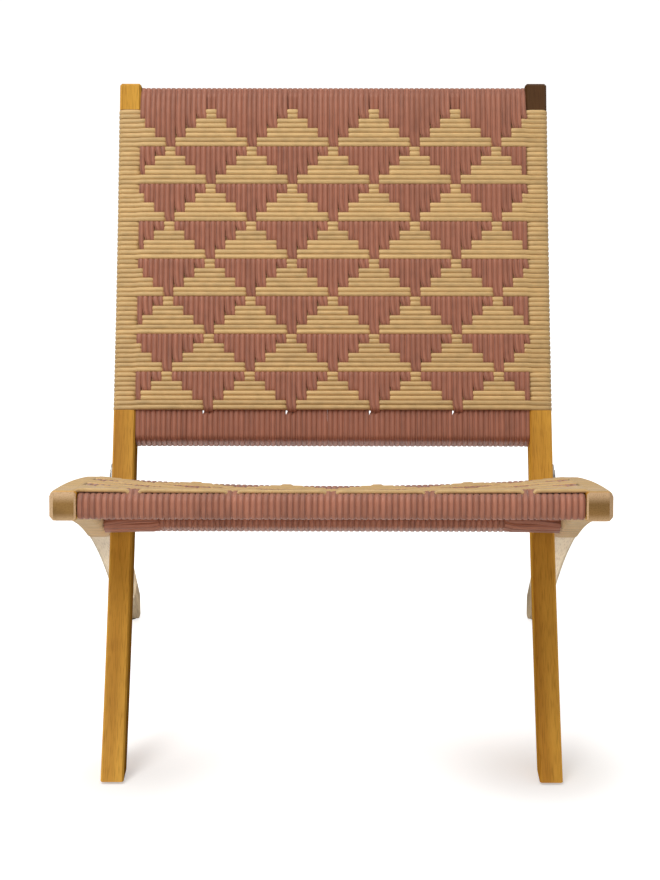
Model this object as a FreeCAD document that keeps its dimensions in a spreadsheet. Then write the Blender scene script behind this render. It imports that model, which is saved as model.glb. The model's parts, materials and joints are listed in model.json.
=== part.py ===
import FreeCAD, Part
import math
import os

import Sketcher

# Folding lounge chair: two crossed hardwood frames, each with a woven cord panel.
# The back frame's curved posts run down into the front legs. The seat frame's bent
# sides run down into the rear legs. Both frames turn about one pair of bolts, and the
# seat's rear rail beds on the posts, which is the stop of the open chair.
# Lengths are millimetres. X runs to the sitter's left, Y to the rear and Z up, with the
# origin on the floor under the middle of the chair. A setback is measured to the rear
# from the front end of the seat sides' top edge.

SIZES = {
    # Whole chair
    "overall_width": 610.0,
    "overall_depth": 752.0,
    # Seat sides, each in one piece with its rear leg
    "side_thickness": 29.0,
    "side_nose_height": 31.0,
    "seat_front_height": 386.0,
    "seat_front_angle": 10.4,
    "seat_rear_angle": 14.0,
    "bend_setback": 328.0,
    "bend_radius": 430.0,
    "heel_height": 31.7,
    "rear_foot_length": 24.0,
    "heel_round": 12.0,
    "side_belly_rise": 46.0,
    "side_chamfer": 4.5,
    "inner_chamfer": 2.0,
    # Back posts, each in one piece with its front leg
    "post_width": 27.0,
    "post_foot_setback": 117.0,
    "post_foot_length": 43.0,
    "post_top_setback": 547.0,
    "post_top_height": 774.0,
    "post_bow": 34.5,
    "post_waist_depth": 44.0,
    "post_head_depth": 33.0,
    "post_chamfer": 2.0,
    "head_chamfer": 2.5,
    # Cord and the rebates that it is wound into
    "cord_diameter": 5.6,
    "rebate_depth": 4.8,
    "wrap_clearance": 0.2,
    "layer_gap": 0.6,
    "panel_bite": 4.0,
    "head_block": 34.0,
    "side_block": 14.0,
    "back_weft_pitch": 6.07,
    "seat_weft_pitch": 5.9,
    "wrap_end_setback": 355.0,
    "wrap_end_angle": 22.0,
    "wrap_chamfer": 2.5,
    "seat_sag": 13.0,
    "seat_rear_sag": 9.0,
    "seat_front_sag": 1.5,
    # Rails, given by their wood core
    "rail_round": 3.0,
    "top_rail_height": 29.8,
    "top_rail_depth": 19.0,
    "top_rail_drop": 3.0,
    "lower_rail_height": 18.0,
    "lower_rail_depth": 26.0,
    "lower_rail_gap": 9.5,
    "front_rail_height": 18.2,
    "front_rail_depth": 20.0,
    "rear_rail_height": 20.0,
    "rear_rail_depth": 20.0,
    "rear_rail_drop": 16.0,
    "stop_clearance": 0.3,
    # Loose tenons of the rail joints
    "tenon_width": 14.0,
    "tenon_thickness": 8.0,
    "tenon_length": 40.0,
    "tenon_clearance": 0.1,
    # Pivot
    "pivot_drop": 29.1,
    "pivot_inset": 22.0,
    "bolt_diameter": 8.0,
    "bolt_clearance": 0.1,
    "bolt_head_diameter": 20.0,
    "bolt_head_height": 4.0,
    "bush_wall": 1.9,
    "side_play": 0.3,
    "spacer_diameter": 24.0,
    "spacer_thickness": 2.2,
    "washer_diameter": 22.0,
    "washer_thickness": 1.5,
    "nut_flats": 13.0,
    "nut_height": 6.5,
    "nut_cap_height": 4.5,
    # Steel plates on the outside of the posts
    "plate_width": 26.0,
    "plate_thickness": 2.5,
    "plate_rise": 46.0,
    "plate_fall": 34.0,
    "plate_corner": 7.0,
    "screw_inset": 11.5,
    "screw_diameter": 4.0,
    "screw_length": 16.0,
    "screw_head_diameter": 11.0,
    "screw_head_height": 1.9,
    # Floor glides
    "glide_height": 3.0,
    "glide_diameter": 20.0,
    "glide_pin_diameter": 5.0,
    "glide_pin_length": 14.0,
    # How far cutting outlines run past the wood
    "overrun": 30.0,
}
BACK_WEFT_COUNT = 64
SEAT_WEFT_COUNT = 40

doc = FreeCAD.newDocument("LoungeChair")
sheet = doc.addObject("Spreadsheet::Sheet", "Sizes")
cell_values = {}
nodes = []
cuts = []


def add_cell(alias, value):
    """Write one size into the sheet under its alias, once."""
    if alias in cell_values:
        if abs(cell_values[alias] - value) > 1e-9:
            raise RuntimeError("Two values for the cell " + alias)
        return alias
    row = len(cell_values) + 1
    sheet.set(f"A{row}", alias)
    sheet.set(f"B{row}", repr(float(value)))
    sheet.setAlias(f"B{row}", alias)
    cell_values[alias] = value
    return alias


for size_name, size_value in SIZES.items():
    add_cell(size_name, size_value)
size = dict(SIZES)


def derive(alias, value):
    """Keep a size that follows from others in the sheet too."""
    add_cell(alias, value)
    size[alias] = value


def bind(feature, path, alias):
    feature.setExpression(path, "Sizes." + alias)


# Plane geometry of the side view


nose_lean = size["side_nose_height"] * math.sin(math.radians(size["seat_front_angle"]))


def side_point(setback, height):
    """Point of the side view, where the first coordinate is Y and the second is Z."""
    return FreeCAD.Vector(setback + nose_lean - size["overall_depth"] / 2, height, 0)


def heading(angle):
    """Unit vector that runs to the rear and falls by the angle in degrees."""
    turn = math.radians(angle)
    return FreeCAD.Vector(math.cos(turn), -math.sin(turn), 0)


def upright(angle):
    """Unit vector square to heading(angle), pointing up."""
    turn = math.radians(angle)
    return FreeCAD.Vector(math.sin(turn), math.cos(turn), 0)


class Bow:
    """Circular edge of the side view."""

    def __init__(self, centre, radius):
        self.centre = centre
        self.radius = radius

    def grown(self, growth):
        return Bow(self.centre, self.radius + growth)

    def middle(self, start, end):
        """Point of the edge half way between two of its points."""
        spoke = (start - self.centre) + (end - self.centre)
        return self.centre + spoke.normalize() * self.radius

    def normal(self, place):
        """Unit vector from the centre towards a place."""
        return (place - self.centre).normalize()

    def at(self, along):
        """Upper point of the circle at a first coordinate."""
        reach = along - self.centre.x
        rise = math.sqrt(self.radius ** 2 - reach ** 2)
        return FreeCAD.Vector(along, self.centre.y + rise, 0)

    def crossing(self, ray):
        """Point nearest the ray's origin where the ray's line meets the circle."""
        origin, direction = ray
        offset = origin - self.centre
        half = offset.dot(direction)
        rest = math.sqrt(half ** 2 - offset.dot(offset) + self.radius ** 2)
        steps = sorted((-half - rest, -half + rest), key=abs)
        return origin + direction * steps[0]

    def upper_meeting(self, other):
        """Upper point where two circles meet."""
        apart = other.centre - self.centre
        along = (apart.dot(apart) + self.radius ** 2 - other.radius ** 2) / (2 * apart.Length)
        aside = math.sqrt(self.radius ** 2 - along ** 2)
        foot = self.centre + apart * (along / apart.Length)
        left = FreeCAD.Vector(-apart.y, apart.x, 0).normalize() * aside
        return max(foot + left, foot - left, key=lambda place: place.y)


def bow_through(start, middle, end):
    """Edge through three points."""
    arc = Part.Arc(start, middle, end).toShape().Curve
    return Bow(arc.Center, arc.Radius)


def bow_by_rise(start, end, rise):
    """Edge that leaves its chord by the rise, to the left of the way from start to end."""
    chord = end - start
    left = FreeCAD.Vector(-chord.y, chord.x, 0).normalize()
    return bow_through(start, (start + end) / 2 + left * rise, end)


def band(first_bow, second_bow, first_ray, second_ray):
    """Closed outline between two curved edges and two straight ends."""
    return [
        (first_bow.crossing(first_ray), None),
        (second_bow.crossing(first_ray), second_bow),
        (second_bow.crossing(second_ray), None),
        (first_bow.crossing(second_ray), first_bow),
    ]


def rounded_box(centre, angle, depth, height, radius):
    """Closed outline of a rectangle with round corners, turned with its rail."""
    rear = heading(angle)
    top = upright(angle)
    edges = []
    for across, up in ((1, 1), (-1, 1), (-1, -1), (1, -1)):
        corner = centre + rear * across * (depth / 2 - radius) + top * up * (height / 2 - radius)
        rear_side = corner + rear * across * radius
        level_side = corner + top * up * radius
        bow = Bow(corner, radius)
        first, second = (rear_side, level_side) if across == up else (level_side, rear_side)
        edges.append((first, bow))
        edges.append((second, None))
    return edges


# Sketches and features


def origin_plane(body, role):
    for feature in body.Origin.OriginFeatures:
        if feature.Role == role:
            return feature
    raise RuntimeError("No plane " + role)


def new_body(label):
    body = doc.addObject("PartDesign::Body", label)
    body.Label = label
    return body


def new_sketch(body, label, x_alias=None, role="YZ_Plane"):
    """Empty sketch on one of the body's own planes, moved along X by a named size."""
    sketch = body.newObject("Sketcher::SketchObject", label)
    sketch.AttachmentSupport = [(origin_plane(body, role), "")]
    sketch.MapMode = "FlatFace"
    if x_alias:
        bind(sketch, "AttachmentOffset.Base.z", x_alias)
    return sketch


def hold(sketch, kind, geometry, position, name, value):
    """Fix one coordinate of a sketch point to a cell of the sheet."""
    if abs(value) < 1e-6:
        axis = -1 if kind == "DistanceY" else -2
        sketch.addConstraint(Sketcher.Constraint("PointOnObject", geometry, position, axis))
        return
    index = sketch.addConstraint(
        Sketcher.Constraint(kind, -1, 1, geometry, position, value))
    sketch.renameConstraint(index, name)
    bind(sketch, "Constraints." + name, add_cell(name, value))


def add_loop(sketch, name, edges):
    """Draw a closed outline and tie each corner and radius to the sheet."""
    ends = []
    for number, (start, bow) in enumerate(edges):
        finish = edges[(number + 1) % len(edges)][0]
        if bow is None:
            geometry = sketch.addGeometry(Part.LineSegment(start, finish))
        else:
            geometry = sketch.addGeometry(Part.Arc(start, bow.middle(start, finish), finish))
        forward = (sketch.getPoint(geometry, 1) - start).Length < 1e-4
        ends.append((geometry, 1, 2) if forward else (geometry, 2, 1))
    for number, (start, bow) in enumerate(edges):
        geometry, first, _ = ends[number]
        previous, _, last = ends[number - 1]
        sketch.addConstraint(Sketcher.Constraint("Coincident", previous, last, geometry, first))
        hold(sketch, "DistanceX", geometry, first, f"{name}_{number + 1}_along", start.x)
        hold(sketch, "DistanceY", geometry, first, f"{name}_{number + 1}_up", start.y)
        if bow is not None:
            radius_name = f"{name}_{number + 1}_radius"
            index = sketch.addConstraint(Sketcher.Constraint("Radius", geometry, bow.radius))
            sketch.renameConstraint(index, radius_name)
            bind(sketch, "Constraints." + radius_name, add_cell(radius_name, bow.radius))


def add_circles(sketch, name, centres, diameter):
    for number, centre in enumerate(centres):
        geometry = sketch.addGeometry(
            Part.Circle(centre, FreeCAD.Vector(0, 0, 1), size[diameter] / 2))
        hold(sketch, "DistanceX", geometry, 3, f"{name}_{number + 1}_along", centre.x)
        hold(sketch, "DistanceY", geometry, 3, f"{name}_{number + 1}_up", centre.y)
        index = sketch.addConstraint(
            Sketcher.Constraint("Diameter", geometry, size[diameter]))
        sketch.renameConstraint(index, f"{name}_{number + 1}_bore")
        bind(sketch, f"Constraints.{name}_{number + 1}_bore", diameter)


def pad(body, label, sketch, length, both_ways=False):
    feature = body.newObject("PartDesign::Pad", label)
    feature.Profile = sketch
    if both_ways:
        feature.SideType = "Symmetric"
    bind(feature, "Length", length)
    return feature


def pocket(body, label, sketch, length, outwards=False, both_ways=False):
    """Cut the sketch's outlines, towards -X unless outwards."""
    feature = body.newObject("PartDesign::Pocket", label)
    feature.Profile = sketch
    feature.Reversed = outwards
    if both_ways:
        feature.SideType = "Symmetric"
    bind(feature, "Length", length)
    cuts.append(feature)
    return feature


def break_edges(body, label, measure, chosen):
    """Chamfer the edges of the body that the test picks."""
    doc.recompute([body])
    names = []
    for number, edge in enumerate(body.Shape.Edges):
        if chosen(edge):
            names.append(f"Edge{number + 1}")
    if not names:
        raise RuntimeError(label + " finds no edge")
    blank = body.Tip
    feature = body.newObject("PartDesign::Chamfer", label)
    feature.Base = (blank, names)
    bind(feature, "Size", measure)
    return feature


def turned(label, corners, place):
    """Turned piece: its half outline, given as X and radius, goes round a line along X."""
    body = new_body(label)
    sketch = new_sketch(body, label + "_outline", role="XY_Plane")
    add_loop(sketch, label, [(FreeCAD.Vector(along, radius, 0), None)
                             for along, radius in corners])
    feature = body.newObject("PartDesign::Revolution", label + "_turning")
    feature.Profile = sketch
    feature.ReferenceAxis = (sketch, ["H_Axis"])
    body.Placement = place
    return body


def on_x_line(place):
    """Placement whose own X axis runs through a point of the side view."""
    return FreeCAD.Placement(FreeCAD.Vector(0, place.x, place.y), FreeCAD.Rotation())


def mirrored(label, source):
    """The same piece for the other side of the chair."""
    feature = doc.addObject("Part::Mirroring", label)
    feature.Label = label
    feature.Source = source
    feature.Normal = FreeCAD.Vector(1, 0, 0)
    return feature


def grouped(label, pieces):
    """Like pieces that share one name, kept as separate solids."""
    feature = doc.addObject("Part::Compound", label)
    feature.Label = label
    feature.Links = pieces
    return feature


def both_sides(label, pieces):
    """Like pieces of one side and their mirror images under one name."""
    right = grouped(label + "_one_side", pieces)
    return grouped(label, [right, mirrored(label + "_other_side", right)])


def keep(feature):
    nodes.append(feature)


# Places across the chair, from the seat's sides inwards to the posts

derive("wrap_proud", size["cord_diameter"] - size["rebate_depth"])
derive("side_outer_x", size["overall_width"] / 2)
derive("side_inner_x", size["side_outer_x"] - size["side_thickness"])
derive("wrap_outer_x", size["side_outer_x"] + size["wrap_proud"])
derive("wrap_inner_x", size["side_inner_x"] - size["wrap_proud"])
derive("spacer_outer_x", size["wrap_inner_x"] - size["side_play"])
derive("plate_outer_x", size["spacer_outer_x"] - size["spacer_thickness"])
derive("post_outer_x", size["plate_outer_x"] - size["plate_thickness"])
derive("post_inner_x", size["post_outer_x"] - size["post_width"])
derive("post_wrap_outer_x", size["post_outer_x"] + size["wrap_proud"])
derive("post_wrap_inner_x", size["post_inner_x"] - size["wrap_proud"])

# The weft lies on the warp: heights of both layers above the wood's face

derive("weft_lift", size["cord_diameter"] * 0.75)
derive("warp_lift", size["weft_lift"] - size["cord_diameter"] - size["layer_gap"])
derive("rail_set", -size["warp_lift"])

# Back post: its front edge bows away from the sitter

post_foot_front = side_point(size["post_foot_setback"], size["glide_height"])
post_foot_rear = side_point(size["post_foot_setback"] + size["post_foot_length"],
                            size["glide_height"])
post_head_front = side_point(size["post_top_setback"], size["post_top_height"])
post_front = bow_by_rise(post_foot_front, post_head_front, -size["post_bow"])
post_head_rear = post_head_front + post_front.normal(post_head_front) * size["post_head_depth"]
post_waist_front = post_front.middle(post_foot_front, post_head_front)
post_waist_rear = (post_waist_front
                   + post_front.normal(post_waist_front) * size["post_waist_depth"])
post_rear = bow_through(post_foot_rear, post_waist_rear, post_head_rear)


def post_ray(reach):
    """Line across the post at a distance from its top, measured on its front face."""
    spoke = post_head_front - post_front.centre
    turned_spoke = FreeCAD.Rotation(
        FreeCAD.Vector(0, 0, 1), -math.degrees(reach / post_front.radius)).multVec(spoke)
    place = post_front.centre + turned_spoke
    return place, post_front.normal(place)


def post_tilt(reach):
    """Angle by which a rail that follows the post falls to the rear."""
    rear = post_ray(reach)[1]
    return math.degrees(math.atan2(-rear.y, rear.x))


back_wrap_length = BACK_WEFT_COUNT * size["back_weft_pitch"]
top_rail_wrapped = size["top_rail_height"] + 2 * size["cord_diameter"]
lower_rail_wrapped = size["lower_rail_height"] + 2 * size["cord_diameter"]
top_rail_reach = size["top_rail_drop"] + top_rail_wrapped / 2
inner_wrap_reach = size["top_rail_drop"] + top_rail_wrapped + size["wrap_clearance"]
wrap_low_reach = size["head_block"] + back_wrap_length
lower_rail_reach = wrap_low_reach + size["lower_rail_gap"] + lower_rail_wrapped / 2


def rail_centre(ray, depth):
    """Centre of a rail whose wrapped front lies behind the face that the ray crosses."""
    face, rear = ray
    return face + rear * (size["rail_set"] + size["cord_diameter"] + size[depth] / 2)


top_rail_centre = rail_centre(post_ray(top_rail_reach), "top_rail_depth")
lower_rail_centre = rail_centre(post_ray(lower_rail_reach), "lower_rail_depth")

# Seat side: a nearly straight seat, a bend behind the pivot and the rear leg

nose_top = side_point(0, size["seat_front_height"])
seat_chord_angle = (size["seat_front_angle"] + size["seat_rear_angle"]) / 2
seat_drop = size["bend_setback"] * math.tan(math.radians(seat_chord_angle))
bend_start = side_point(size["bend_setback"], size["seat_front_height"] - seat_drop)
seat_turn = math.radians(size["seat_rear_angle"] - size["seat_front_angle"])
crown_radius = (bend_start - nose_top).Length / (2 * math.sin(seat_turn / 2))
crown = Bow(nose_top - upright(size["seat_front_angle"]) * crown_radius, crown_radius)
bend = Bow(bend_start - upright(size["seat_rear_angle"]) * size["bend_radius"],
           size["bend_radius"])
heel_setback = size["overall_depth"] - nose_lean
heel_corner = side_point(heel_setback, size["heel_height"])
heel_spoke = heel_corner - bend.centre
rear_leg_angle = math.degrees(
    math.atan2(heel_spoke.x, heel_spoke.y)
    - math.acos(size["bend_radius"] / heel_spoke.Length))
bend_end = bend.centre + upright(rear_leg_angle) * size["bend_radius"]
heel_cut = size["heel_round"] * math.tan(math.radians(90 - rear_leg_angle) / 2)
heel_start = heel_corner - heading(rear_leg_angle) * heel_cut
heel_top = heel_corner - FreeCAD.Vector(0, heel_cut, 0)
heel_bow = Bow(heel_top - FreeCAD.Vector(size["heel_round"], 0, 0), size["heel_round"])
heel = side_point(heel_setback, size["glide_height"])
rear_foot_front = side_point(heel_setback - size["rear_foot_length"], size["glide_height"])
nose_low = nose_top - upright(size["seat_front_angle"]) * size["side_nose_height"]
belly = bow_by_rise(nose_low, rear_foot_front, size["side_belly_rise"])


def seat_ray(setback):
    """Line across the seat side from a point of its top edge."""
    place = crown.at(side_point(setback, 0).x)
    return place, crown.normal(place)


wrap_start_ray = seat_ray(size["side_block"])
wrap_end_ray = (belly.at(side_point(size["wrap_end_setback"], 0).x),
                upright(size["wrap_end_angle"]))
seat_weave_end = size["side_block"] + SEAT_WEFT_COUNT * size["seat_weft_pitch"]

# Pivot, at its depth under the seat side's top edge and behind the post's front edge

pivot = crown.grown(-size["pivot_drop"]).upper_meeting(
    post_front.grown(size["pivot_inset"]))
pivot_rear = post_front.normal(pivot)
pivot_tilt = math.degrees(math.atan2(-pivot_rear.y, pivot_rear.x))
pivot_up = upright(pivot_tilt)

# Rails of the seat

front_rail_angle = size["seat_front_angle"]
front_rail_centre = (
    nose_top
    + heading(front_rail_angle)
    * (size["rail_set"] + size["cord_diameter"] + size["front_rail_depth"] / 2)
    - upright(front_rail_angle)
    * (size["rail_set"] + size["cord_diameter"] + size["front_rail_height"] / 2))
rear_rail_wrapped_height = size["rear_rail_height"] + 2 * size["cord_diameter"]
rear_rail_wrapped_depth = size["rear_rail_depth"] + 2 * size["cord_diameter"]
rear_rail_centre = (
    pivot
    - pivot_rear * (size["pivot_inset"] + size["stop_clearance"] + rear_rail_wrapped_depth / 2)
    - pivot_up * (size["rear_rail_drop"] + rear_rail_wrapped_height / 2))


def seat_side_loop(growth, start_ray, end_ray):
    """Outline of the seat side's wrapped length, grown or shrunk all round."""
    grown_crown = crown.grown(growth)
    grown_bend = bend.grown(growth)
    grown_belly = belly.grown(-growth)
    knee = bend_start + upright(size["seat_rear_angle"]) * growth
    return [
        (grown_belly.crossing(start_ray), None),
        (grown_crown.crossing(start_ray), grown_crown),
        (knee, grown_bend),
        (grown_bend.crossing(end_ray), None),
        (grown_belly.crossing(end_ray), grown_belly),
    ]


def distances_past(ray, edge):
    """How far the ends of an edge lie past a line across a member."""
    place, direction = ray
    offsets = [FreeCAD.Vector(vertex.Y, vertex.Z, 0) - place for vertex in edge.Vertexes]
    return [offset.x * direction.y - offset.y * direction.x for offset in offsets]


def is_before(ray, edge):
    distances = distances_past(ray, edge)
    return max(distances) < 1e-3 and min(distances) < -1e-3


def is_after(ray, edge):
    distances = distances_past(ray, edge)
    return min(distances) > -1e-3 and max(distances) > 1e-3


def is_above_foot(edge):
    return any(vertex.Z > size["glide_height"] + 1e-3 for vertex in edge.Vertexes)


def shifted(ray, distance):
    """The same line across a member, moved to the rear along the member."""
    place, direction = ray
    return place + FreeCAD.Vector(direction.y, -direction.x, 0) * distance, direction


# Loose tenons of the rail joints, each given by its rail's centre and angle and its section

top_tenon = (top_rail_centre, post_tilt(top_rail_reach), "tenon_thickness", "tenon_width")
lower_tenon = (lower_rail_centre, post_tilt(lower_rail_reach), "tenon_width",
               "tenon_thickness")
front_tenon = (front_rail_centre, front_rail_angle, "tenon_width", "tenon_thickness")
rear_tenon = (rear_rail_centre, pivot_tilt, "tenon_width", "tenon_thickness")


def tenon_loop(tenon, growth):
    """Outline of a tenon's section, or of its mortise where it is grown by a clearance."""
    centre, angle, depth, height = tenon
    rear = heading(angle) * (size[depth] / 2 + growth)
    top = upright(angle) * (size[height] / 2 + growth)
    return [(centre + rear * across + top * up, None)
            for across, up in ((1, 1), (-1, 1), (-1, -1), (1, -1))]


derive("mortise_depth", size["tenon_length"] / 2 + size["tenon_clearance"])
derive("bolt_bore", size["bolt_diameter"] + 2 * size["bolt_clearance"])
derive("bush_diameter", size["bolt_bore"] + 2 * size["bush_wall"])
derive("bush_bore", size["bush_diameter"] + 2 * size["bolt_clearance"])
derive("screw_bore", size["screw_diameter"] + 2 * size["bolt_clearance"])
derive("screw_hole_depth", size["screw_length"] + size["wrap_proud"])
derive("glide_bore", size["glide_pin_diameter"] + 2 * size["bolt_clearance"])

screw_places = [pivot + pivot_up * (size["plate_rise"] - size["screw_inset"]),
                pivot - pivot_up * (size["plate_fall"] - size["screw_inset"])]


def at_x(vertex, alias):
    return abs(vertex.X - size[alias]) < 1e-3


def lies_in_plane(edge, alias):
    return all(at_x(vertex, alias) for vertex in edge.Vertexes)


def drill(body, label, centres, diameter, x_alias, depth, outwards=True):
    sketch = new_sketch(body, label + "_sketch", x_alias)
    add_circles(sketch, label, centres, diameter)
    return pocket(body, label, sketch, depth, outwards)


def cut_mortises(body, label, tenons, x_alias, outwards=True):
    sketch = new_sketch(body, label + "_sketch", x_alias)
    for number, tenon in enumerate(tenons):
        add_loop(sketch, f"{label}_{number + 1}", tenon_loop(tenon, size["tenon_clearance"]))
    return pocket(body, label, sketch, "mortise_depth", outwards)


def drill_foot(body, label, centre_y, centre_x):
    """Blind hole up into a foot for the pin of its glide."""
    sketch = body.newObject("Sketcher::SketchObject", label + "_sketch")
    sketch.AttachmentSupport = [(origin_plane(body, "XY_Plane"), "")]
    sketch.MapMode = "FlatFace"
    bind(sketch, "AttachmentOffset.Base.z", "glide_height")
    add_circles(sketch, label, [FreeCAD.Vector(centre_x, centre_y, 0)], "glide_bore")
    return pocket(body, label, sketch, "glide_hole_depth", outwards=True)


derive("glide_hole_depth", size["glide_pin_length"] + size["wrap_proud"])

# Post with its rebates


def make_post():
    body = new_body("back_post_right")
    profile = new_sketch(body, "post_profile", "post_inner_x")
    add_loop(profile, "post_profile", [
        (post_foot_front, None),
        (post_foot_rear, post_rear),
        (post_head_rear, None),
        (post_head_front, post_front),
    ])
    pad(body, "post_blank", profile, "post_width")

    top_ray = post_ray(size["head_block"])
    inner_top_ray = post_ray(inner_wrap_reach)
    low_ray = post_ray(wrap_low_reach)
    faces = new_sketch(body, "post_rebate_faces", "post_inner_x")
    add_loop(faces, "post_front_rebate", band(
        post_front.grown(-size["overrun"]), post_front.grown(size["rebate_depth"]),
        low_ray, top_ray))
    add_loop(faces, "post_rear_rebate", band(
        post_rear.grown(-size["rebate_depth"]), post_rear.grown(size["overrun"]),
        low_ray, top_ray))
    pocket(body, "post_face_rebates", faces, "post_width", outwards=True)

    for name, ray, alias, outwards in (
            ("post_outer_rebate", top_ray, "post_outer_x", False),
            ("post_inner_rebate", inner_top_ray, "post_inner_x", True)):
        sketch = new_sketch(body, name + "_sketch", alias)
        add_loop(sketch, name, band(
            post_front.grown(-size["overrun"]), post_rear.grown(size["overrun"]), low_ray, ray))
        pocket(body, name, sketch, "rebate_depth", outwards)

    break_edges(body, "head_easing", "head_chamfer", lambda edge: is_before(top_ray, edge))
    break_edges(body, "post_easing", "post_chamfer",
                lambda edge: is_after(low_ray, edge) and is_above_foot(edge))

    cut_mortises(body, "post_mortises", (top_tenon, lower_tenon), "post_inner_x")
    drill(body, "post_bolt_hole", [pivot], "bolt_bore", "post_inner_x", "post_width")
    drill(body, "post_screw_holes", screw_places, "screw_bore", "post_outer_x",
          "screw_hole_depth", outwards=False)
    drill_foot(body, "post_glide_hole", (post_foot_front.x + post_foot_rear.x) / 2,
               (size["post_inner_x"] + size["post_outer_x"]) / 2)
    keep(body)
    keep(mirrored("back_post_left", body))


# Seat side with its rebates


def make_seat_side():
    body = new_body("seat_side_right")
    profile = new_sketch(body, "side_profile", "side_inner_x")
    add_loop(profile, "side_profile", [
        (nose_low, None),
        (nose_top, crown),
        (bend_start, bend),
        (bend_end, None),
        (heel_start, heel_bow),
        (heel_top, None),
        (heel, None),
        (rear_foot_front, belly),
    ])
    pad(body, "side_blank", profile, "side_thickness")

    faces = new_sketch(body, "side_rebate_faces", "side_inner_x")
    deep = seat_side_loop(-size["rebate_depth"], wrap_start_ray, wrap_end_ray)
    wide = seat_side_loop(size["overrun"], wrap_start_ray, wrap_end_ray)
    add_loop(faces, "side_top_rebate", [
        deep[1], deep[2], (deep[3][0], None), (wide[3][0], wide[2][1]),
        (wide[2][0], wide[1][1]), (wide[1][0], None)])
    add_loop(faces, "side_belly_rebate", [
        (wide[0][0], None), (deep[0][0], deep[4][1]), (deep[4][0], None), (wide[4][0], wide[4][1])])
    pocket(body, "side_face_rebates", faces, "side_thickness", outwards=True)

    outer = new_sketch(body, "side_outer_rebate_sketch", "side_outer_x")
    add_loop(outer, "side_outer_rebate", wide)
    pocket(body, "side_outer_rebate", outer, "rebate_depth")
    inner = new_sketch(body, "side_inner_rebate_sketch", "side_inner_x")
    for name, start_ray, end_ray in inner_wrap_spans:
        add_loop(inner, "side_inner_" + name, inner_span_loop(start_ray, end_ray, size["overrun"]))
    pocket(body, "side_inner_rebate", inner, "rebate_depth", outwards=True)

    def is_bare(edge):
        """Whether an edge runs along the nose or the rear leg, clear of the wraps."""
        on_leg = is_after(wrap_end_ray, edge) and is_above_foot(edge)
        return on_leg or is_before(wrap_start_ray, edge)

    break_edges(body, "side_outer_easing", "side_chamfer",
                lambda edge: lies_in_plane(edge, "side_outer_x") and is_bare(edge))
    break_edges(body, "side_inner_easing", "inner_chamfer",
                lambda edge: lies_in_plane(edge, "side_inner_x") and is_bare(edge))

    cut_mortises(body, "side_mortises", (front_tenon, rear_tenon), "side_inner_x")
    drill(body, "side_bush_hole", [pivot], "bush_bore", "side_inner_x", "side_thickness")
    drill_foot(body, "side_glide_hole", (rear_foot_front.x + heel.x) / 2,
               (size["side_inner_x"] + size["side_outer_x"]) / 2)
    keep(body)
    keep(mirrored("seat_side_left", body))


front_rail_reach = (size["rail_set"] + size["front_rail_depth"] + 2 * size["cord_diameter"]
                    + size["wrap_clearance"])
rear_rail_half_span = (rear_rail_wrapped_depth + rear_rail_wrapped_height) / 2
rear_rail_ray = (rear_rail_centre, upright(size["seat_rear_angle"]))
inner_wrap_spans = [
    ("fore", shifted((nose_top, upright(front_rail_angle)), front_rail_reach),
     shifted(rear_rail_ray, -rear_rail_half_span)),
    ("aft", shifted(rear_rail_ray, rear_rail_half_span), wrap_end_ray),
]


def inner_span_loop(start_ray, end_ray, growth):
    """Outline of a length of the side's inner face, between two lines across it."""
    upper = bend.grown(growth) if end_ray is wrap_end_ray else crown.grown(growth)
    lower = belly.grown(-growth)
    return [
        (lower.crossing(start_ray), None),
        (upper.crossing(start_ray), upper),
        (upper.crossing(end_ray), None),
        (lower.crossing(end_ray), lower),
    ]


# Rails


def make_rail(label, centre, angle, depth, height, half_span, tenon):
    body = new_body(label)
    section = new_sketch(body, label + "_section")
    add_loop(section, label, rounded_box(
        centre, angle, size[depth], size[height], size["rail_round"]))
    derive(label + "_length", 2 * size[half_span])
    pad(body, label + "_blank", section, label + "_length", both_ways=True)
    mortise = cut_mortises(body, label + "_mortise", [tenon], half_span, outwards=False)
    other_end = body.newObject("PartDesign::Mirrored", label + "_other_mortise")
    other_end.Originals = [mortise]
    other_end.MirrorPlane = (origin_plane(body, "YZ_Plane"), [""])
    body.Tip = other_end
    keep(body)


def make_tenons(label, joints):
    """Loose tenons of one frame: half in the rail's end and half in the member beside it."""
    pieces = []
    for name, tenon, joint_x in joints:
        body = new_body(name)
        derive(name + "_start", size[joint_x] - size["tenon_length"] / 2)
        section = new_sketch(body, name + "_section", name + "_start")
        add_loop(section, name, tenon_loop(tenon, 0))
        pad(body, name + "_blank", section, "tenon_length")
        pieces.append(body)
    keep(both_sides(label, pieces))


# Woven cords, as the closed space that each colour of cord fills


def cut_rail(body, label, centre, angle, depth, height, growth, half_span, may_miss=False):
    """Take a rail, grown by a clearance or by its cords, out of a cord panel.

    A rail that may miss the panel only meets it where it sits low in the seat's sides.
    """
    sketch = new_sketch(body, label + "_sketch")
    add_loop(sketch, label, rounded_box(
        centre, angle, size[depth] + 2 * growth, size[height] + 2 * growth,
        size["rail_round"] + growth))
    derive(label + "_length", 2 * size[half_span])
    pocket(body, label, sketch, label + "_length", both_ways=True)
    if may_miss:
        cuts.pop()


def add_rail_wraps(body, label, centre, angle, depth, height):
    sketch = new_sketch(body, label + "_sketch")
    growth = size["cord_diameter"]
    add_loop(sketch, label, rounded_box(
        centre, angle, size[depth] + 2 * growth, size[height] + 2 * growth,
        size["rail_round"] + growth))
    return pad(body, label, sketch, label + "_length", both_ways=True)


derive("back_warp_half", size["post_wrap_inner_x"] - size["wrap_clearance"])
derive("seat_warp_half", size["wrap_inner_x"] - size["wrap_clearance"])


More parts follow.
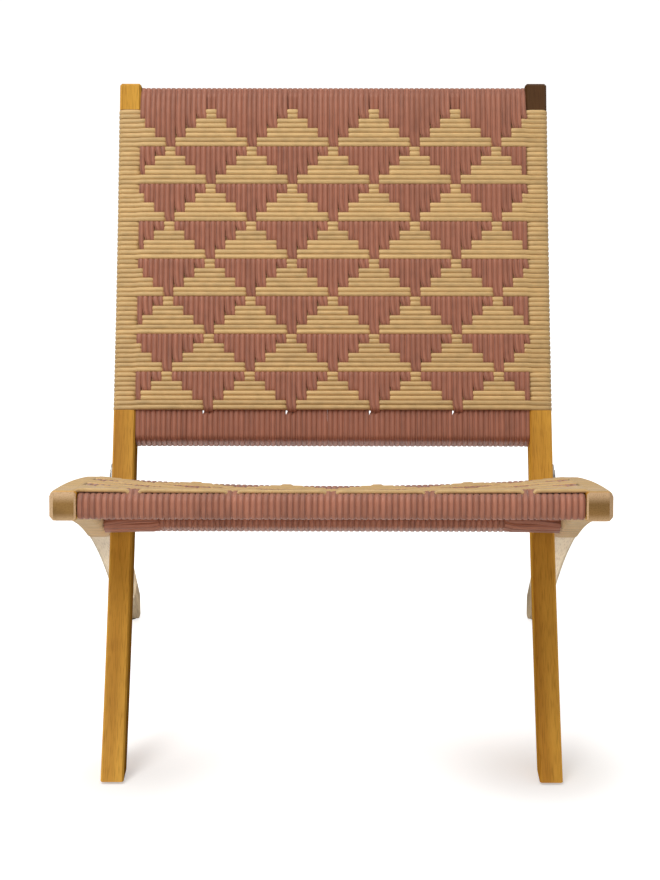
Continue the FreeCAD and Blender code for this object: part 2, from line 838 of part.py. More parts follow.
def ease_wraps(body, label, outer_alias):
    """Take off the bowed outer edges of a member's wraps, as the cord rounds its corners."""
    break_edges(body, label, "wrap_chamfer", lambda edge: (
        lies_in_plane(edge, outer_alias) and edge.Curve.TypeId == "Part::GeomCircle"))


def make_back_weft():
    """Tan cord: the front layer of the back, and its turns round both posts."""
    body = new_body("back_weft_cords")
    low_ray = post_ray(wrap_low_reach)
    top_ray = post_ray(size["head_block"])
    proud = size["wrap_proud"]
    derive("post_wrap_width", size["post_width"] + 2 * proud)
    wrap = new_sketch(body, "back_weft_wrap_sketch", "post_wrap_inner_x")
    add_loop(wrap, "back_weft_wrap", band(
        post_front.grown(-proud), post_rear.grown(proud), low_ray, top_ray))
    first = pad(body, "back_weft_wrap", wrap, "post_wrap_width")
    ease_wraps(body, "back_weft_easing", "post_wrap_outer_x")

    clearance = size["wrap_clearance"]
    derive("post_core_outer_x", size["post_outer_x"] - size["rebate_depth"] + clearance)
    derive("post_core_inner_x", size["post_inner_x"] + size["rebate_depth"] - clearance)
    derive("post_core_width", size["post_core_outer_x"] - size["post_core_inner_x"])
    core = new_sketch(body, "back_weft_core_sketch", "post_core_inner_x")
    add_loop(core, "back_weft_core", band(
        post_front.grown(size["rebate_depth"] - clearance),
        post_rear.grown(clearance - size["rebate_depth"]),
        shifted(low_ray, size["overrun"]), shifted(top_ray, -size["overrun"])))
    core_cut = pocket(body, "back_weft_core", core, "post_core_width", outwards=True)

    derive("post_inner_wall", size["post_core_inner_x"] - size["post_wrap_inner_x"])
    wall = new_sketch(body, "back_weft_wall_sketch", "post_wrap_inner_x")
    add_loop(wall, "back_weft_wall", band(
        post_front.grown(size["rail_set"]), post_rear.grown(clearance - size["rebate_depth"]),
        post_ray(inner_wrap_reach), shifted(top_ray, -size["overrun"])))
    wall_cut = pocket(body, "back_weft_wall", wall, "post_inner_wall", outwards=True)

    opposite = body.newObject("PartDesign::Mirrored", "back_weft_other_wrap")
    opposite.Originals = [first, body.getObject("back_weft_easing"), core_cut, wall_cut]
    opposite.MirrorPlane = (origin_plane(body, "YZ_Plane"), [""])
    body.Tip = opposite

    panel = new_sketch(body, "back_weft_panel_sketch")
    add_loop(panel, "back_weft_panel", band(
        post_front.grown(-size["weft_lift"]),
        post_front.grown(size["cord_diameter"] - size["weft_lift"]), low_ray, top_ray))
    derive("back_weft_panel_length", 2 * (size["post_wrap_inner_x"] + size["panel_bite"]))
    pad(body, "back_weft_panel", panel, "back_weft_panel_length", both_ways=True)
    keep(body)


def make_back_warp():
    """Pink cord: the layer behind, and its turns round the top and lower rails."""
    body = new_body("back_warp_cords")
    panel = new_sketch(body, "back_warp_panel_sketch")
    add_loop(panel, "back_warp_panel", band(
        post_front.grown(size["rail_set"]),
        post_front.grown(size["rail_set"] + size["cord_diameter"]),
        post_ray(lower_rail_reach), post_ray(top_rail_reach)))
    for name in ("back_warp_panel_length", "back_warp_top_length", "back_warp_lower_length"):
        derive(name, 2 * size["back_warp_half"])
    pad(body, "back_warp_panel", panel, "back_warp_panel_length", both_ways=True)
    rails = (
        ("back_warp_top", top_rail_centre, post_tilt(top_rail_reach),
         "top_rail_depth", "top_rail_height"),
        ("back_warp_lower", lower_rail_centre, post_tilt(lower_rail_reach),
         "lower_rail_depth", "lower_rail_height"),
    )
    for label, centre, angle, depth, height in rails:
        add_rail_wraps(body, label, centre, angle, depth, height)
    for label, centre, angle, depth, height in rails:
        cut_rail(body, label + "_core", centre, angle, depth, height,
                 size["wrap_clearance"], "post_inner_x")
    keep(body)


def seat_layer_loop(lift, rear_tail, sag_share):
    """Outline of one layer of the seat at a distance across it, where the sag has a share."""
    front_place, front_up = seat_ray(size["side_block"])
    rear_place, rear_up = seat_ray(seat_weave_end)
    middle_place, middle_up = seat_ray((size["side_block"] + seat_weave_end) / 2)
    front_top = front_place + front_up * (lift - sag_share * size["seat_front_sag"])
    middle_top = middle_place + middle_up * (lift - sag_share * size["seat_sag"])
    rear_top = rear_place + rear_up * (lift - sag_share * size["seat_rear_sag"])
    upper = bow_through(front_top, middle_top, rear_top)
    inwards = -1 if upper.centre.y < middle_top.y else 1
    lower = upper.grown(inwards * size["cord_diameter"])
    front_low = lower.centre + lower.normal(front_top) * lower.radius
    rear_low = lower.centre + lower.normal(rear_top) * lower.radius
    edges = [(front_low, None), (front_top, upper), (rear_top, None)]
    edges += [(place, None) for place in rear_tail]
    edges.append((rear_low, lower))
    return edges


def loft_layer(body, label, lift, rear_tail, half_alias):
    """Layer of the seat that hangs lower in the middle than at both sides."""
    derive(label + "_other_x", -size[half_alias])
    edge_share = 1 - (size[half_alias] / size["seat_warp_half"]) ** 2
    sections = []
    for name, alias, share in (("near", half_alias, edge_share), ("centre", None, 1),
                               ("far", label + "_other_x", edge_share)):
        sketch = new_sketch(body, f"{label}_{name}_sketch", alias)
        add_loop(sketch, f"{label}_{name}", seat_layer_loop(lift, rear_tail, share))
        sections.append(sketch)
    feature = body.newObject("PartDesign::AdditiveLoft", label)
    feature.Profile = sections[0]
    feature.Sections = sections[1:]


def make_seat_weft():
    """Tan cord: the upper layer of the seat, and its turns round both sides."""
    body = new_body("seat_weft_cords")
    proud = size["wrap_proud"]
    clearance = size["wrap_clearance"]
    derive("side_wrap_width", size["side_thickness"] + 2 * proud)
    wrap = new_sketch(body, "seat_weft_wrap_sketch", "wrap_inner_x")
    add_loop(wrap, "seat_weft_wrap", seat_side_loop(proud, wrap_start_ray, wrap_end_ray))
    first = pad(body, "seat_weft_wrap", wrap, "side_wrap_width")
    ease_wraps(body, "seat_weft_easing", "wrap_outer_x")

    derive("side_core_outer_x", size["side_outer_x"] - size["rebate_depth"] + clearance)
    derive("side_core_inner_x", size["side_inner_x"] + size["rebate_depth"] - clearance)
    derive("side_core_width", size["side_core_outer_x"] - size["side_core_inner_x"])
    core = new_sketch(body, "seat_weft_core_sketch", "side_core_inner_x")
    add_loop(core, "seat_weft_core", seat_side_loop(
        clearance - size["rebate_depth"], shifted(wrap_start_ray, -size["side_block"]),
        shifted(wrap_end_ray, size["overrun"])))
    core_cut = pocket(body, "seat_weft_core", core, "side_core_width", outwards=True)

    derive("side_inner_wall", size["side_core_inner_x"] - size["wrap_inner_x"])
    wall = new_sketch(body, "seat_weft_wall_sketch", "wrap_inner_x")
    fore, aft = inner_wrap_spans
    low = belly.grown(size["rebate_depth"] - clearance)
    high = crown.grown(clearance - size["rebate_depth"])
    for name, start_ray, end_ray in (
            ("front", shifted(wrap_start_ray, -size["overrun"]), fore[1]),
            ("rear", fore[2], aft[1])):
        add_loop(wall, "seat_weft_wall_" + name, band(low, high, start_ray, end_ray))
    wall_cut = pocket(body, "seat_weft_wall", wall, "side_inner_wall", outwards=True)
    bolt_cut = drill(body, "seat_weft_bolt_hole", [pivot], "bush_bore", "wrap_inner_x",
                     "side_wrap_width")

    opposite = body.newObject("PartDesign::Mirrored", "seat_weft_other_wrap")
    opposite.Originals = [first, body.getObject("seat_weft_easing"), core_cut, wall_cut,
                          bolt_cut]
    opposite.MirrorPlane = (origin_plane(body, "YZ_Plane"), [""])
    body.Tip = opposite

    derive("seat_weft_half", size["wrap_inner_x"] + size["panel_bite"])
    loft_layer(body, "seat_weft_layer", size["weft_lift"], [], "seat_weft_half")
    cut_rail(body, "seat_weft_front_rail", front_rail_centre, front_rail_angle,
             "front_rail_depth", "front_rail_height",
             size["cord_diameter"] + size["wrap_clearance"], "wrap_inner_x")
    cut_rail(body, "seat_weft_rear_rail", rear_rail_centre, pivot_tilt,
             "rear_rail_depth", "rear_rail_height", size["wrap_clearance"],
             "side_core_inner_x", may_miss=True)
    keep(body)


def make_seat_warp():
    """Pink cord: the layer below, and its turns round the front and rear rails."""
    body = new_body("seat_warp_cords")
    tail_top = (rear_rail_centre + upright(pivot_tilt) * size["rear_rail_height"] / 2
                - heading(pivot_tilt) * size["rear_rail_depth"] / 2
                + upright(pivot_tilt) * size["cord_diameter"])
    tail_low = (rear_rail_centre + upright(pivot_tilt) * size["rear_rail_height"] / 2
                - heading(pivot_tilt) * size["rear_rail_depth"] / 2
                - heading(pivot_tilt) * size["cord_diameter"])
    loft_layer(body, "seat_warp_layer", size["warp_lift"], [tail_top, tail_low],
               "seat_warp_half")
    rails = (
        ("seat_warp_front", front_rail_centre, front_rail_angle,
         "front_rail_depth", "front_rail_height"),
        ("seat_warp_rear", rear_rail_centre, pivot_tilt,
         "rear_rail_depth", "rear_rail_height"),
    )
    for label, centre, angle, depth, height in rails:
        derive(label + "_length", 2 * size["seat_warp_half"])
        add_rail_wraps(body, label, centre, angle, depth, height)
    for label, centre, angle, depth, height in rails:
        cut_rail(body, label + "_core", centre, angle, depth, height,
                 size["wrap_clearance"], "side_inner_x")
    keep(body)


# Pivot hardware


def make_bush():
    bore = size["bolt_bore"] / 2
    outside = size["bush_diameter"] / 2
    bush = turned("pivot_bush", [
        (size["wrap_inner_x"], bore),
        (size["wrap_inner_x"], outside),
        (size["wrap_outer_x"], outside),
        (size["wrap_outer_x"], bore),
    ], on_x_line(pivot))
    keep(both_sides("pivot_bushes", [bush]))


def make_ring(label, start, thickness, diameter):
    """Flat washer round the pivot bolt."""
    bore = size["bolt_bore"] / 2
    outside = size[diameter] / 2
    return turned(label, [
        (start, bore),
        (start, outside),
        (start + size[thickness], outside),
        (start + size[thickness], bore),
    ], on_x_line(pivot))


def make_washers():
    derive("head_seat_x", size["wrap_outer_x"] + size["side_play"] + size["washer_thickness"])
    derive("nut_seat_x", size["post_inner_x"] - size["washer_thickness"])
    spacer = make_ring("pivot_spacer", size["plate_outer_x"], "spacer_thickness",
                       "spacer_diameter")
    keep(both_sides("pivot_spacers", [spacer]))
    outer = make_ring("head_washer", size["wrap_outer_x"] + size["side_play"],
                      "washer_thickness", "washer_diameter")
    inner = make_ring("nut_washer", size["nut_seat_x"], "washer_thickness",
                      "washer_diameter")
    keep(both_sides("pivot_washers", [outer, inner]))


def head_outline(seat, reach, radius):
    """Half outline of a low round head that stands on a seat and reaches out from it."""
    return [(seat, radius), (seat + reach, radius), (seat + reach, 0)]


def make_bolt():
    point_x = size["nut_seat_x"] - size["nut_height"]
    radius = size["bolt_diameter"] / 2
    bolt = turned("pivot_bolt_right", [
        (point_x, 0),
        (point_x, radius),
        (size["head_seat_x"], radius),
    ] + head_outline(size["head_seat_x"], size["bolt_head_height"],
                     size["bolt_head_diameter"] / 2), on_x_line(pivot))
    keep(bolt)
    keep(mirrored("pivot_bolt_left", bolt))


def make_nut():
    """Cap nut on the inner side of the post: six flats and a dome over the bolt's end."""
    body = new_body("pivot_nut")
    derive("nut_outer_x", size["nut_seat_x"] - size["nut_height"])
    corner_radius = size["nut_flats"] / math.sqrt(3)
    hexagon = new_sketch(body, "nut_hexagon", "nut_outer_x")
    corners = [
        pivot + FreeCAD.Rotation(
            FreeCAD.Vector(0, 0, 1), 60 * turn).multVec(pivot_up) * corner_radius
        for turn in range(6)]
    add_loop(hexagon, "nut_hexagon", [(corner, None) for corner in corners])
    pad(body, "nut_flats_pad", hexagon, "nut_height")
    cap = new_sketch(body, "nut_cap_sketch", role="XZ_Plane")
    corners = head_outline(size["nut_outer_x"], -size["nut_cap_height"],
                           size["nut_flats"] / 2 - size["bolt_clearance"])
    corners.append((size["nut_outer_x"], 0))
    add_loop(cap, "nut_cap", [(FreeCAD.Vector(along, pivot.y + out, 0), None)
                              for along, out in corners])
    derive("pivot_y", pivot.x)
    cap.setExpression("AttachmentOffset.Base.z", "-Sizes.pivot_y")
    turning = body.newObject("PartDesign::Revolution", "nut_cap")
    turning.Profile = cap
    turning.ReferenceAxis = (cap, ["Edge3"])
    drill(body, "nut_bore", [pivot], "bolt_bore", "nut_outer_x", "nut_height")
    keep(both_sides("pivot_nuts", [body]))


def make_plate():
    """Steel plate with cut corners on the post's outer face, drilled for bolt and screws."""
    body = new_body("post_plate_right")
    outline = new_sketch(body, "plate_outline", "post_outer_x")
    half = heading(pivot_tilt) * size["plate_width"] / 2
    inset = heading(pivot_tilt) * size["plate_corner"]
    drop = pivot_up * size["plate_corner"]
    top = pivot + pivot_up * size["plate_rise"]
    foot = pivot - pivot_up * size["plate_fall"]
    corners = [foot + half - inset, foot + half + drop, top + half - drop, top + half - inset,
               top - half + inset, top - half - drop, foot - half + drop, foot - half + inset]
    add_loop(outline, "plate_outline", [(corner, None) for corner in corners])
    pad(body, "plate_blank", outline, "plate_thickness")
    drill(body, "plate_bolt_hole", [pivot], "bolt_bore", "post_outer_x", "plate_thickness")
    drill(body, "plate_screw_holes", screw_places, "screw_bore", "post_outer_x",
          "plate_thickness")
    keep(body)
    keep(mirrored("post_plate_left", body))


def make_screws():
    pieces = []
    radius = size["screw_diameter"] / 2
    seat = size["plate_outer_x"]
    shank_end = size["post_outer_x"] - size["screw_length"]
    for number, place in enumerate(screw_places):
        pieces.append(turned(f"plate_screw_{number + 1}", [
            (shank_end, 0),
            (shank_end, radius),
            (seat, radius),
        ] + head_outline(seat, size["screw_head_height"], size["screw_head_diameter"] / 2),
            on_x_line(place)))
    keep(both_sides("plate_screws", pieces))


# Floor glides


def make_glides(label, foot_y, foot_x):
    """Disc under a foot with a pin up into the wood, turned about an upright line."""
    radius = size["glide_diameter"] / 2
    upwards = FreeCAD.Rotation(FreeCAD.Vector(0, 1, 0), -90)
    place = FreeCAD.Placement(FreeCAD.Vector(foot_x, foot_y, 0), upwards)
    pin = size["glide_pin_diameter"] / 2
    height = size["glide_height"]
    glide = turned(label + "_piece", [
        (0, 0),
        (0, radius),
        (height, radius),
        (height, pin),
        (height + size["glide_pin_length"], pin),
        (height + size["glide_pin_length"], 0),
    ], place)
    keep(both_sides(label, [glide]))


make_post()
make_seat_side()
make_rail("back_top_rail", top_rail_centre, post_tilt(top_rail_reach),
          "top_rail_depth", "top_rail_height", "post_inner_x", top_tenon)
make_rail("back_lower_rail", lower_rail_centre, post_tilt(lower_rail_reach),
          "lower_rail_depth", "lower_rail_height", "post_inner_x", lower_tenon)
make_rail("seat_front_rail", front_rail_centre, front_rail_angle,
          "front_rail_depth", "front_rail_height", "side_inner_x", front_tenon)
make_rail("seat_rear_rail", rear_rail_centre, pivot_tilt,
          "rear_rail_depth", "rear_rail_height", "side_inner_x", rear_tenon)
make_tenons("back_rail_tenons", (("top_rail_tenon", top_tenon, "post_inner_x"),
                                 ("lower_rail_tenon", lower_tenon, "post_inner_x")))
make_tenons("seat_rail_tenons", (("front_rail_tenon", front_tenon, "side_inner_x"),
                                 ("rear_rail_tenon", rear_tenon, "side_inner_x")))
make_plate()
make_screws()
make_bush()
make_washers()
make_bolt()
make_nut()
make_glides("front_glides", (post_foot_front.x + post_foot_rear.x) / 2,
            (size["post_inner_x"] + size["post_outer_x"]) / 2)
make_glides("rear_glides", (rear_foot_front.x + heel.x) / 2,
            (size["side_inner_x"] + size["side_outer_x"]) / 2)
make_back_warp()
make_back_weft()
make_seat_warp()
make_seat_weft()

doc.recompute()
for item in doc.Objects:
    if "Invalid" in item.State or "Error" in item.State:
        raise RuntimeError("Failed: " + item.Label)
for cut in cuts:
    if not cut.Shape.Volume < cut.BaseFeature.Shape.Volume:
        raise RuntimeError(cut.Label + " cuts nothing")
for node in nodes:
    if node.Shape.isNull() or not node.Shape.isValid():
        raise RuntimeError("Bad shape: " + node.Label)

os.makedirs("parts", exist_ok=True)
for node in nodes:
    node.Shape.exportStep("parts/" + node.Label + ".step")
    box = node.Shape.BoundBox
    print(f"{node.Label:22s} solids {len(node.Shape.Solids)} volume {node.Shape.Volume:12.1f}"
          f"  X {box.XMin:7.1f} {box.XMax:7.1f}  Y {box.YMin:7.1f} {box.YMax:7.1f}"
          f"  Z {box.ZMin:7.1f} {box.ZMax:7.1f}")
print("Pivot at Y", round(pivot.x, 3), "Z", round(pivot.y, 3), "tilt", round(pivot_tilt, 3))
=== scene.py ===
import json
import math
import random

import bpy
import numpy as np
from bpy.props import FloatProperty, FloatVectorProperty, IntProperty, PointerProperty
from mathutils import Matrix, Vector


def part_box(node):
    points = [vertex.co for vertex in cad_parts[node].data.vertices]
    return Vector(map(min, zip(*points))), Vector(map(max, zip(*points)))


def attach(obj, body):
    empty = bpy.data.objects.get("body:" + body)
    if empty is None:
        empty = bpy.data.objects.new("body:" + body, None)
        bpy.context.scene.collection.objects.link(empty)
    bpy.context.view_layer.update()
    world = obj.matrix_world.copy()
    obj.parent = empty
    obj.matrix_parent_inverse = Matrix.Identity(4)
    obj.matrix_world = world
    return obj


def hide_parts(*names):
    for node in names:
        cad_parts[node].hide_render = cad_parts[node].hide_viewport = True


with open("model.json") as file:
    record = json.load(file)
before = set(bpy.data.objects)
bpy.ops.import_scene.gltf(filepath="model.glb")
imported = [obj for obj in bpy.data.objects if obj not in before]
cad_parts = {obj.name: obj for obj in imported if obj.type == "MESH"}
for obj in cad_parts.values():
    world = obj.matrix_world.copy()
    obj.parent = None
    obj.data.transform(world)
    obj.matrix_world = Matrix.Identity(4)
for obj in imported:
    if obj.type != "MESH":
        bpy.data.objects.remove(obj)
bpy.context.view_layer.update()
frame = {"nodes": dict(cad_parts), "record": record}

bl_info = {
    "name": "Woven Folding Chair",
    "version": (1, 0, 0),
    "blender": (4, 5, 0),
    "location": "3D View > Sidebar > Woven Chair",
    "description": "Cords, finishes and studio for a folding lounge chair woven in two colours",
    "category": "Object",
}

# The chair's frame, with the same sizes as the CAD part, in metres. A place of the side
# view holds Y and Z. A setback is measured to the rear from the front end of the seat
# sides' top edge, and a reach down the post from the front of its top end.

DEPTH = 0.752
NOSE_HEIGHT = 0.031
SEAT_FRONT_HEIGHT = 0.386
SEAT_FRONT_ANGLE = math.radians(10.4)
SEAT_REAR_ANGLE = math.radians(14.0)
BEND_SETBACK = 0.328
BEND_RADIUS = 0.430
BELLY_RISE = 0.046
REAR_FOOT_LENGTH = 0.024
POST_FOOT_SETBACK = 0.117
POST_FOOT_LENGTH = 0.043
POST_TOP_SETBACK = 0.547
POST_TOP_HEIGHT = 0.774
POST_BOW = 0.0345
POST_WAIST_DEPTH = 0.044
POST_HEAD_DEPTH = 0.033
FOOT_HEIGHT = 0.003
SIDE_BLOCK = 0.014
HEAD_BLOCK = 0.034
WRAP_END_SETBACK = 0.355
WRAP_END_ANGLE = math.radians(22.0)
BACK_PITCH = 0.00607
SEAT_PITCH = 0.0059
BACK_ROWS = 64
SEAT_ROWS = 40
RAIL_SET = 0.002
RAIL_ROUND = 0.003
RAIL_CORNER_STEPS = 4
TOP_RAIL = (0.019, 0.0298)
LOWER_RAIL = (0.026, 0.018)
FRONT_RAIL = (0.020, 0.0182)
REAR_RAIL = (0.020, 0.020)
TOP_RAIL_DROP = 0.003
LOWER_RAIL_GAP = 0.0095
REAR_RAIL_DROP = 0.016
PIVOT_INSET = 0.022
STOP_CLEARANCE = 0.0003
CORD = 0.0056

# Places across the chair, read from the loaded frame

POST_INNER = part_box("back_post_right")[0][0]
POST_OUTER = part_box("back_post_right")[1][0]
SIDE_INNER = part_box("seat_side_right")[0][0]
SIDE_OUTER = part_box("seat_side_right")[1][0]

# The weave: a unit is a pair of rose cords and a row pair is a pair of straw cords. The
# straw triangles widen step by step over four row pairs and repeat after eight units. At
# each edge of the back a single rose cord fills the lane between the units and the post.

REPEAT = 8
STEPS = 4
BACK_UNITS = 18
SEAT_UNITS = 20
BACK_UNIT = 0.01285
SEAT_UNIT = 0.0134
EDGE_LANE = POST_INNER - (BACK_UNITS + 0.5) * BACK_UNIT

# Heights of a cord's middle over the face that its panel lies in, and how much deeper the
# seat's rose cords go where they leave the weave

OVER = 0.0010
UNDER = -0.0038
SEAT_ROSE_OVER = -0.0002
RAIL_FRONT = -0.0048
RUN_OUT_DROP = 0.002

# Wraps lie a little below the faces of their member and turn round its corners. Inside it
# they stop short of the panel, by the given corner radii. On the way round a post they
# drift sideways, from the given point of their path on. A wrap that isn't woven ends just
# inside its member, and beside the front rail a wrap has no inner run.

WRAP_SINK = 0.0014
WRAP_CORNER = 0.004
WRAP_INNER_ENDS = (2.4, 1.6)
WRAP_DRIFT_FROM = 5
WRAP_EDGE = 0.001
WRAP_END_DEPTH = 0.0022
FRONT_RAIL_CLEAR = 0.018
FRONT_ROUND = 0.0026

# Shares of the slip of a rose pair, and how far cords run on past the weave

EARLY_SLIP = 0.35
LEAN_SLIP = 0.35
BACK_RUN_OUT = 0.012
SEAT_RUN_OUT = 0.004

# The seat's sag along its length, as a curve of the second degree, and across it

SAG_START = 0.0015
SAG_GROWTH = 0.0385
SAG_RECOVERY = 0.031
SAG_HALF_WIDTH = 0.275

# Loose strands at the ends of the seat's rear rail

END_STRANDS = 5
END_REACH = 0.062
STRAND_LIFT = 0.0028
STRAND_SPACING = 0.0056
STRAND_GAP = 0.0015
STRAND_STAGGER = 0.002
STRAND_SLANT = 0.004
STRAND_WAVE = 0.0008
STRAND_DIVE = 0.85

# Front ends of the seat sides, which get end grain with a painted highlight round it, soft
# edges, and the place of a front foot on the floor, round which a contact shadow is painted

NOSE_MIDDLE = 0.3685
NOSE_HALF = 0.0165
NOSE_BACK = -0.33
NOSE_FADE = 0.02
POST_SOFTNESS = 0.0022
SIDE_SOFTNESS = 0.0045
# Round this front foot and its mirror the floor's glow is lowered, painting a contact shadow that
# is darkest within SHADOW_NEAR and gone beyond SHADOW_FAR.
FRONT_FOOT = (0.2567, -0.2319, 0.0)
SHADOW_NEAR = 0.02
SHADOW_FAR = 0.19

# Camera and the point that the lamps face

CAMERA_SPOT = (0.011, -2.7824, 1.044)
CAMERA_TILT = math.radians(76.035)
CAMERA_TURN = math.radians(0.29)
LAMP_AIM = (0.0, 0.0, 0.4)

WHITE = (1.0, 1.0, 1.0)
BLACK = (0.0, 0.0, 0.0)


class CordSizes(bpy.types.PropertyGroup):
    """How the two cords of the panels are laid and coloured."""

    thickness: FloatProperty(
        name="Thickness", description="Thickness of the cord, pressed flat where it is laid",
        default=0.0046, min=0.003, max=0.0058, subtype="DISTANCE", unit="LENGTH")
    rose_snug: FloatProperty(
        name="Rose Snug", description="Width of a rose cord as a share of its place",
        default=1.03, min=0.85, max=1.1)
    straw_snug: FloatProperty(
        name="Straw Snug", description="Width of a straw cord as a share of its place",
        default=0.95, min=0.85, max=1.1)
    square: FloatProperty(
        name="Square", description="Power of the cord's outline, 1 for an oval, less for a box",
        default=0.78, min=0.5, max=1.0)
    slip: FloatProperty(
        name="Slip", description="How far a rose pair is pushed aside over a step of the weave",
        default=0.0021, min=0.0, max=0.003, subtype="DISTANCE", unit="LENGTH")
    tuck: FloatProperty(
        name="Tuck", description="How far a straw cord runs on under the rose cord it dives below",
        default=0.0003, min=0.0, max=0.002, subtype="DISTANCE", unit="LENGTH")
    slope: FloatProperty(
        name="Crossing Slope", description="Half the length over which a cord dives or rises",
        default=0.0023, min=0.001, max=0.005, subtype="DISTANCE", unit="LENGTH")
    wander: FloatProperty(
        name="Wander", description="How far hand laid cords stray from their place",
        default=0.00016, min=0.0, max=0.001, subtype="DISTANCE", unit="LENGTH")
    seed: IntProperty(
        name="Seed", description="Number that fixes the small irregularities", default=7)
    rose: FloatVectorProperty(
        name="Rose", description="Lit colour of the rose cord", subtype="COLOR",
        size=3, min=0.0, max=1.0, default=(0.40, 0.152, 0.090))
    straw: FloatVectorProperty(
        name="Straw", description="Lit colour of the straw cord", subtype="COLOR",
        size=3, min=0.0, max=1.0, default=(0.68, 0.445, 0.186))


class WoodColours(bpy.types.PropertyGroup):
    """Colours of the frame's wood and metal."""

    light: FloatVectorProperty(
        name="Light Wood", description="Pale bands of the grain", subtype="COLOR",
        size=3, min=0.0, max=1.0, default=(0.80, 0.43, 0.066))
    dark: FloatVectorProperty(
        name="Dark Wood", description="Dark bands of the grain", subtype="COLOR",
        size=3, min=0.0, max=1.0, default=(0.53, 0.24, 0.03))
    # Painted glare: a paler tone that washes out the rear legs as strong light would.
    painted_glare: FloatVectorProperty(
        name="Pale Wood", description="Tone of the washed out rear legs", subtype="COLOR",
        size=3, min=0.0, max=1.0, default=(0.97, 0.81, 0.58))
    head: FloatVectorProperty(
        name="Dark Head", description="Tone of the dark end of the right post",
        subtype="COLOR", size=3, min=0.0, max=1.0, default=(0.11, 0.05, 0.018))
    end_grain: FloatVectorProperty(
        name="End Grain", description="Tone of the seat sides' front ends", subtype="COLOR",
        size=3, min=0.0, max=1.0, default=(0.33, 0.185, 0.058))
    core: FloatVectorProperty(
        name="Rail Wood", description="Plain wood of the rails under the cord",
        subtype="COLOR", size=3, min=0.0, max=1.0, default=(0.30, 0.16, 0.07))
    steel: FloatVectorProperty(
        name="Steel", description="Colour of the plates, bolts and screws", subtype="COLOR",
        size=3, min=0.0, max=1.0, default=(0.34, 0.33, 0.32))
    plastic: FloatVectorProperty(
        name="Glide Plastic", description="Colour of the floor glides", subtype="COLOR",
        size=3, min=0.0, max=1.0, default=(0.03, 0.024, 0.02))


class StudioLight(bpy.types.PropertyGroup):
    """Strength of the lamps and the tone of the floor."""

    key_power: FloatProperty(
        name="Key Power", description="Power of the large lamp above the sitter's right",
        default=98.0, min=0.0, max=900.0, unit="POWER")
    top_power: FloatProperty(
        name="Top Power", description="Power of the lamp overhead",
        default=56.0, min=0.0, max=900.0, unit="POWER")
    bounce_power: FloatProperty(
        name="Bounce Power", description="Power of the lamp that adds to the floor's bounce",
        default=6.0, min=0.0, max=200.0, unit="POWER")
    under_power: FloatProperty(
        name="Under Power", description="Power of the lamp that adds to the bounce underneath",
        default=0.9, min=0.0, max=20.0, unit="POWER")
    # Painted contact shadow: close round the front feet the floor adds less light as seen than far
    # away, so a darker patch shows there besides the real shadow.
    painted_shadow_glow: FloatProperty(
        name="Glow Near", description="Light that the floor adds near the chair, as seen",
        default=0.40, min=0.0, max=1.0)
    glow_far: FloatProperty(
        name="Glow Far", description="Light that the floor adds far away, as seen",
        default=0.74, min=0.0, max=1.0)
    fill: FloatProperty(
        name="Fill", description="Strength of the even light from all round",
        default=0.33, min=0.0, max=1.0)
    floor: FloatVectorProperty(
        name="Floor", description="Colour of the floor", subtype="COLOR",
        size=3, min=0.0, max=1.0, default=(0.86, 0.86, 0.85))
    lens: FloatProperty(
        name="Lens", description="Focal length of the camera in millimetres",
        default=94.8, min=20.0, max=300.0)


# Side view geometry


def place(setback, height):
    return np.array([setback + NOSE_HEIGHT * math.sin(SEAT_FRONT_ANGLE) - DEPTH / 2, height])


def rearward(angle):
    """Unit vector that runs to the rear and falls by the angle."""
    return np.array([math.cos(angle), -math.sin(angle)])


def upright(angle):
    """Unit vector square to rearward(angle), pointing up."""
    return np.array([math.sin(angle), math.cos(angle)])


def unit(vector):
    return vector / np.linalg.norm(vector)


class Bow:
    """Circular edge of the side view."""

    def __init__(self, centre, radius):
        self.centre = centre
        self.radius = radius

    def outward(self, spot):
        return unit(spot - self.centre)

    def along(self, start, distance):
        """Point of the edge at a distance from another, clockwise round the centre."""
        turn = -distance / self.radius
        spoke = start - self.centre
        return self.centre + np.array([
            spoke[0] * math.cos(turn) - spoke[1] * math.sin(turn),
            spoke[0] * math.sin(turn) + spoke[1] * math.cos(turn)])

    def distance(self, start, end):
        first = math.atan2(*(start - self.centre)[::-1])
        last = math.atan2(*(end - self.centre)[::-1])
        return (first - last) * self.radius

    def over(self, y):
        """Upper point of the edge at a Y."""
        reach = y - self.centre[0]
        return np.array([y, self.centre[1] + math.sqrt(self.radius ** 2 - reach ** 2)])

    def crossing(self, origin, direction):
        """Point nearest the origin where a line meets the edge's circle."""
        offset = origin - self.centre
        half = float(offset @ direction)
        rest = math.sqrt(half ** 2 - float(offset @ offset) + self.radius ** 2)
        return origin + direction * min(-half - rest, -half + rest, key=abs)


def bow_by_rise(start, end, rise):
    """Edge whose middle leaves its chord by the rise, to the left of the way to its end."""
    chord = end - start
    half = np.linalg.norm(chord) / 2
    left = unit(np.array([-chord[1], chord[0]]))
    radius = (half ** 2 + rise ** 2) / (2 * abs(rise))
    side = math.copysign(1.0, rise)
    centre = (start + end) / 2 + left * (rise - side * radius)
    return Bow(centre, radius)


def bow_through(start, middle, end):
    chord = end - start
    left = unit(np.array([-chord[1], chord[0]]))
    across = unit(chord)
    half = np.linalg.norm(chord) / 2
    offset = middle - (start + end) / 2
    along, rise = float(offset @ across), float(offset @ left)
    shift = (along ** 2 + rise ** 2 - half ** 2) / (2 * rise)
    centre = (start + end) / 2 + left * shift
    return Bow(centre, math.hypot(half, shift))


